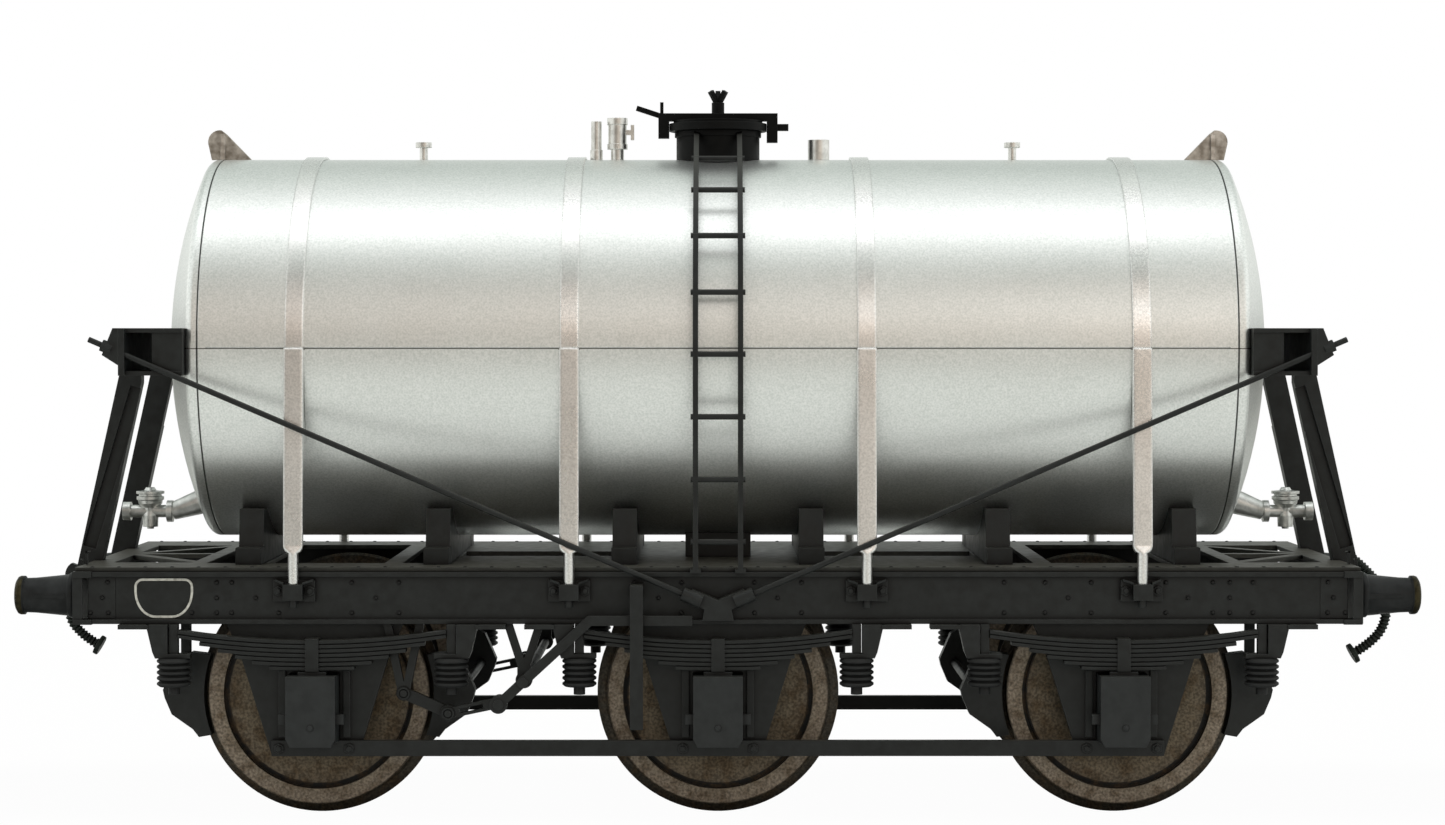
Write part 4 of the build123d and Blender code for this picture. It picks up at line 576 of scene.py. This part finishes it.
def draw_seams(tree, place, silver, shader):
    """Joint lines of the tank: the end rims, and lower panels that stop at the middle and at each bar.
    How far a point is inside a panel is the least of its depth below the middle and its gap to a bar.
    The panels' lines fade out lower down, where the joint is filled with paint."""
    axes = add_node(tree, "SeparateXYZ", {0: place})
    out = add_node(tree, "Math", {0: axes.outputs["X"]}, operation="ABSOLUTE")
    inner = add_node(tree, "Math", {0: out.outputs[0], 1: BAND_XS[2] * MM}, operation="SUBTRACT")
    outer = add_node(tree, "Math", {0: out.outputs[0], 1: BAND_XS[3] * MM}, operation="SUBTRACT")
    inner_gap = add_node(tree, "Math", {0: inner.outputs[0]}, operation="ABSOLUTE")
    outer_gap = add_node(tree, "Math", {0: outer.outputs[0]}, operation="ABSOLUTE")
    gap = add_node(tree, "Math", {0: inner_gap.outputs[0], 1: outer_gap.outputs[0]}, operation="MINIMUM")
    clear = add_node(tree, "Math", {0: gap.outputs[0], 1: BAR_EDGE * MM}, operation="SUBTRACT")
    depth = add_node(tree, "Math", {0: tank_middle * MM, 1: axes.outputs["Z"]}, operation="SUBTRACT")
    inside = add_node(
        tree, "Math", {0: clear.outputs[0], 1: depth.outputs[0], 2: 0.5 * MM}, operation="SMOOTH_MIN")
    across = add_node(tree, "MapRange", {0: inside.outputs[0], 1: -0.2 * MM, 2: 0.4 * MM})
    edge = add_node(tree, "ValToRGB", {0: across.outputs[0]})
    set_ramp(edge, [
        (0.0, "#ffffff"), (0.29, "#ffffff"), (0.33, "#6a6763"), (0.47, "#6a6763"), (0.51, "#ffffff"),
        (1.0, "#ffffff")])
    rim = add_node(tree, "Math", {0: out.outputs[0], 1: barrel_high[0] * MM}, operation="SUBTRACT")
    rim_gap = add_node(tree, "Math", {0: rim.outputs[0]}, operation="ABSOLUTE")
    rim_line = add_node(tree, "MapRange", {
        0: rim_gap.outputs[0], 1: 0.035 * MM, 2: 0.07 * MM, 3: 0.3, 4: 1.0})
    fade = add_node(tree, "MapRange", {0: depth.outputs[0], 1: 4.0 * MM, 2: 11.0 * MM, 3: 1.0, 4: 0.0})
    lined = add_node(
        tree, "MixRGB", {0: fade.outputs[0], 1: silver.outputs[0], 2: edge.outputs[0]},
        blend_type="MULTIPLY")
    colour = add_node(
        tree, "MixRGB", {0: 1.0, 1: lined.outputs[0], 2: rim_line.outputs[0]}, blend_type="MULTIPLY")
    tree.links.new(colour.outputs[0], shader.inputs["Base Color"])


tank_silver, *tank_parts = aluminium_paint("aluminium_paint_tank", "#dadedc", "#f2f4f3", 0.4, 0.1)
draw_seams(*tank_parts)
band_silver = aluminium_paint("aluminium_paint_bands", "#e0e1e0", "#fcfcfb", 0.28, 0.3)[0]
dress(tank_silver, "tank_barrel", "tank_end_left", "tank_end_right")
dress(band_silver, "tank_bands")

# Hanger bars: flat strips filed down at the foot to a round screwed rod, which catches more light than
# the painted tank behind it. Each hangs from a band at the tank's middle and ends in its bracket.
BAR_HALF, BAR_HALF_THICK, ROD_RADIUS = 1.1, 0.4, 0.6
ROD_RISE, SHOULDER = 3.5, 0.8
SEAT_GAP = 0.02
rod_low = corners("band_hangers")[0][2]
rod_out = -solebar_low[1] + SEAT_GAP + ROD_RADIUS
bar_out = barrel_high[1] + SEAT_GAP + BAR_HALF_THICK


def hanger_bar(x, sides):
    """Rings of one bar, from its top to the rod's foot. A ring is a rounded rectangle: half width times
    |cos t| ^ p, and half thickness times |sin t| ^ p with their signs, where p is 0.2 on the bar and 1 on
    the rod. The shoulder's half width falls as the square root of 1 - u ^ 2, where u goes from 0 to 1."""
    u = np.concatenate([np.zeros(2), np.linspace(0.2, 1.0, 8), np.ones(1)])
    foot = rod_low + ROD_RISE + SHOULDER
    height = np.concatenate([[tank_middle, foot], foot - SHOULDER * u[2:-1], [rod_low]])
    out = np.interp(height, [foot, tank_middle], [rod_out, bar_out])
    wide = ROD_RADIUS + (BAR_HALF - ROD_RADIUS) * np.sqrt(1 - u ** 2)
    thick = BAR_HALF_THICK + (ROD_RADIUS - BAR_HALF_THICK) * u
    power = (0.2 + 0.8 * u)[:, None]
    turn = 2 * np.pi * (np.arange(sides) + 0.5) / sides
    across = wide[:, None] * np.sign(np.cos(turn)) * np.abs(np.cos(turn)) ** power
    deep = thick[:, None] * np.sign(np.sin(turn)) * np.abs(np.sin(turn)) ** power
    return np.stack([x + across, deep - out[:, None], np.repeat(height[:, None], sides, axis=1)], axis=2)


near_bars = np.stack([hanger_bar(x, 32) for x in BAND_XS])[:, :, ::-1]
bars = tubes("hanger_bars", mirrored(near_bars, (1, -1, 1)), band_silver)
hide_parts("band_hangers")

# Tank fittings: vents, valves and lugs of cast and turned white metal, glued on unpainted. They are
# bright where they were turned and tarnished where they were filed.


def bare_metal(name, dark, pale, roughness, clouds):
    """Unpainted metal: two greys in a cloud of a given size, with a fine cast grain of 0.2 mm."""
    material, tree, output, place = new_material(name)
    cloud = add_node(tree, "TexNoise", {"Vector": place, "Scale": 1 / (clouds * MM), "Detail": 5.0})
    metal = add_node(tree, "ValToRGB", {0: cloud.outputs["Fac"]})
    set_ramp(metal, [(0.35, dark), (0.65, pale)])
    grain = add_node(tree, "TexNoise", {"Vector": place, "Scale": 1 / (0.2 * MM), "Detail": 2.0})
    rounded = add_node(tree, "Bevel", {"Radius": 0.1 * MM}, samples=4)
    bump = add_node(tree, "Bump", {
        "Height": grain.outputs["Fac"], "Strength": 0.06, "Distance": 0.03 * MM,
        "Normal": rounded.outputs[0]})
    shader = add_node(tree, "BsdfPrincipled", {
        "Base Color": metal.outputs[0], "Metallic": 1.0, "Roughness": roughness,
        "Normal": bump.outputs[0]})
    tree.links.new(shader.outputs[0], output.inputs[0])
    return material


turned_metal = bare_metal("turned_white_metal", "#d2d2ce", "#f0f0ed", 0.3, 0.8)
cast_metal = bare_metal("cast_white_metal", "#c2c4c1", "#e4e5e3", 0.36, 0.9)
filed_metal = bare_metal("filed_lug_metal", "#8d867d", "#c9c4bd", 0.42, 1.0)
dress(turned_metal, "vent_pipes", "thermometer_pocket", "relief_valve", "filler_pipe")
dress(cast_metal, "discharge_valve_left", "discharge_valve_right")
dress(filed_metal, "lifting_lugs")

# Manway and ladders: the manway is moulded and sprayed a deep satin black, a little rougher than the
# frame. The ladders hang from it over the tank's sides and are sprayed with the frame.
manway_black = satin_black("satin_black_manway", "#050606", "#0d0e0e", 0.5, 0.1, 0.3, 0.12)
dress(manway_black, "manway_neck", "manway_lid", "manway_clamp")
dress(frame_black, "ladders")

# Stage: a plain sheet of white paper as the floor, with a painted shadow under the wagon and painted
# falloff of light away from it. The camera sees it as white with only a faint shadow.
FLOOR_HALF = 6.0


def white_paper():
    """White paper: diffuse, with a painted falloff of light away from the wagon by the distance from its
    middle, and a painted shadow under it. A camera ray sees an even white instead, in a share that rises
    from 0.975 to 1 further out."""
    material, tree, output, place = new_material("white_paper_floor")
    away = add_node(tree, "VectorMath", {0: place}, operation="LENGTH")
    fade = add_node(tree, "MapRange", {0: away.outputs["Value"], 1: 0.1, 2: 1.2})
    # Painted falloff of light: the paper's colour darkens away from the wagon's middle.
    tone = add_node(tree, "ValToRGB", {0: fade.outputs[0]})
    set_ramp(tone, [(0.0, "#f4f4f2"), (0.14, "#eeeeeb"), (0.5, "#aeaba6"), (1.0, "#8a8783")])
    # Painted shadow: the paper's colour darkens under the wagon, within 15 to 30 mm of its middle line.
    axes = add_node(tree, "SeparateXYZ", {0: place})
    aside = add_node(tree, "Math", {0: axes.outputs["Y"]}, operation="ABSOLUTE")
    painted_shadow = add_node(tree, "MapRange", {0: aside.outputs[0], 1: 15 * MM, 2: 30 * MM, 3: 0.22, 4: 1.0})
    toned = add_node(
        tree, "MixRGB", {0: 1.0, 1: tone.outputs[0], 2: painted_shadow.outputs[0]}, blend_type="MULTIPLY")
    paper = add_node(tree, "BsdfDiffuse", {"Color": toned.outputs[0]})
    glow = add_node(tree, "Emission", {"Color": linear("#ffffff"), "Strength": 1.0})
    ray = add_node(tree, "LightPath")
    share = add_node(tree, "MapRange", {0: away.outputs["Value"], 1: 0.12, 2: 0.5, 3: 0.975, 4: 1.0})
    seen = add_node(
        tree, "Math", {0: ray.outputs["Is Camera Ray"], 1: share.outputs[0]}, operation="MULTIPLY")
    sheet = add_node(tree, "MixShader", {0: seen.outputs[0], 1: paper.outputs[0], 2: glow.outputs[0]})
    tree.links.new(sheet.outputs[0], output.inputs[0])
    return material


floor_mesh = bpy.data.meshes.new("floor")
floor_mesh.from_pydata([
    (-FLOOR_HALF, -FLOOR_HALF, 0.0), (FLOOR_HALF, -FLOOR_HALF, 0.0), (FLOOR_HALF, FLOOR_HALF, 0.0),
    (-FLOOR_HALF, FLOOR_HALF, 0.0)], [], [(0, 1, 2, 3)])
floor_mesh.materials.append(white_paper())
floor = bpy.data.objects.new("floor", floor_mesh)
bpy.context.scene.collection.objects.link(floor)

# Studio: a soft dome that is brightest overhead, with white walls at both sides and a warm band low in
# front, brighter to the right, as its light falls on the tank. The camera sees plain white behind it all.
world = bpy.data.worlds.new("studio")
bpy.context.scene.world = world
world.use_nodes = True
tree = world.node_tree
tree.nodes.clear()
output = add_node(tree, "OutputWorld")
direction = add_node(tree, "TexCoord").outputs["Generated"]
axes = add_node(tree, "SeparateXYZ", {0: direction})
height = add_node(tree, "MapRange", {0: axes.outputs["Z"], 1: -1.0, 2: 1.0})
front_left = add_node(tree, "ValToRGB", {0: height.outputs[0]})
set_ramp(front_left, [
    (0.49, "#5c5650"), (0.53, "#5f574f"), (0.60, "#978a7f"), (0.68, "#a99f95"), (0.76, "#9d958e"),
    (0.84, "#7f817d"), (0.91, "#abb1ac"), (0.97, "#d5d6d4")])
front_right = add_node(tree, "ValToRGB", {0: height.outputs[0]})
set_ramp(front_right, [
    (0.49, "#615a54"), (0.53, "#8c8175"), (0.60, "#fae6d4"), (0.68, "#fffffc"), (0.76, "#d7cdc2"),
    (0.84, "#8c8d89"), (0.91, "#acb2ad"), (0.97, "#d5d6d4")])
rightward = add_node(tree, "MapRange", {0: axes.outputs["X"], 1: -0.17, 2: 0.17})
front = add_node(
    tree, "MixRGB", {0: rightward.outputs[0], 1: front_left.outputs[0], 2: front_right.outputs[0]},
    blend_type="MIX")
back = add_node(tree, "ValToRGB", {0: height.outputs[0]})
set_ramp(back, [
    (0.50, "#b5b8b4"), (0.56, "#c8ccc8"), (0.64, "#c1c4c1"), (0.74, "#a7aca7"), (0.83, "#a1a7a2"),
    (0.95, "#bac0ba"), (1.00, "#dedede")])
side = add_node(tree, "ValToRGB", {0: height.outputs[0]})
set_ramp(side, [(0.50, "#b0b0ad"), (0.56, "#efefeb"), (0.75, "#d7dad6"), (1.00, "#dedede")])
behind = add_node(
    tree, "MapRange", {0: axes.outputs["Y"], 1: -0.25, 2: 0.25}, interpolation_type="SMOOTHSTEP")
around = add_node(
    tree, "MixRGB", {0: behind.outputs[0], 1: front.outputs[0], 2: back.outputs[0]}, blend_type="MIX")
sideways = add_node(tree, "Math", {0: axes.outputs["X"]}, operation="ABSOLUTE")
beside = add_node(
    tree, "MapRange", {0: sideways.outputs[0], 1: 0.4, 2: 0.8}, interpolation_type="SMOOTHSTEP")
dome = add_node(
    tree, "MixRGB", {0: beside.outputs[0], 1: around.outputs[0], 2: side.outputs[0]}, blend_type="MIX")
light = add_node(tree, "Background", {"Color": dome.outputs[0], "Strength": 1.5})
white = add_node(tree, "Background", {"Color": linear("#ffffff"), "Strength": 1.0})
ray = add_node(tree, "LightPath")
sky = add_node(
    tree, "MixShader", {0: ray.outputs["Is Camera Ray"], 1: light.outputs[0], 2: white.outputs[0]})
tree.links.new(sky.outputs[0], output.inputs[0])

# Softbox: one long lamp overhead and a little in front, along the wagon, which draws the bright streak
# on the upper part of the tank.
softbox = bpy.data.lights.new("softbox", "AREA")
softbox.shape = "RECTANGLE"
softbox.size = 1.1
softbox.size_y = 0.26
softbox.energy = 0.92
lamp = bpy.data.objects.new("softbox", softbox)
lamp.location = (0.0, -0.15, 0.75)
bpy.context.scene.collection.objects.link(lamp)

# Camera: at the tank's height and square to the side, as the picture was taken. The focal length, and how
# far the eye point is above and left of the picture's middle, are in pixels of that picture.
FRAME_WIDTH = 1445
FOCAL = 3095
EYE_ABOVE, EYE_LEFT = 74.5, 4.5
CAMERA_AWAY, CAMERA_HEIGHT = 370.0, 54.41
camera_data = bpy.data.cameras.new("camera")
camera_data.sensor_width = 36.0
camera_data.lens = FOCAL * camera_data.sensor_width / FRAME_WIDTH
camera_data.clip_start = 0.01
camera = bpy.data.objects.new("camera", camera_data)
camera.location = (0.0, -CAMERA_AWAY * MM, CAMERA_HEIGHT * MM)
camera.rotation_euler = (
    math.radians(90) - math.atan(EYE_ABOVE / FOCAL), 0.0, -math.atan(EYE_LEFT / FOCAL))
bpy.context.scene.collection.objects.link(camera)
bpy.context.scene.camera = camera
bpy.context.scene.view_settings.view_transform = "Standard"
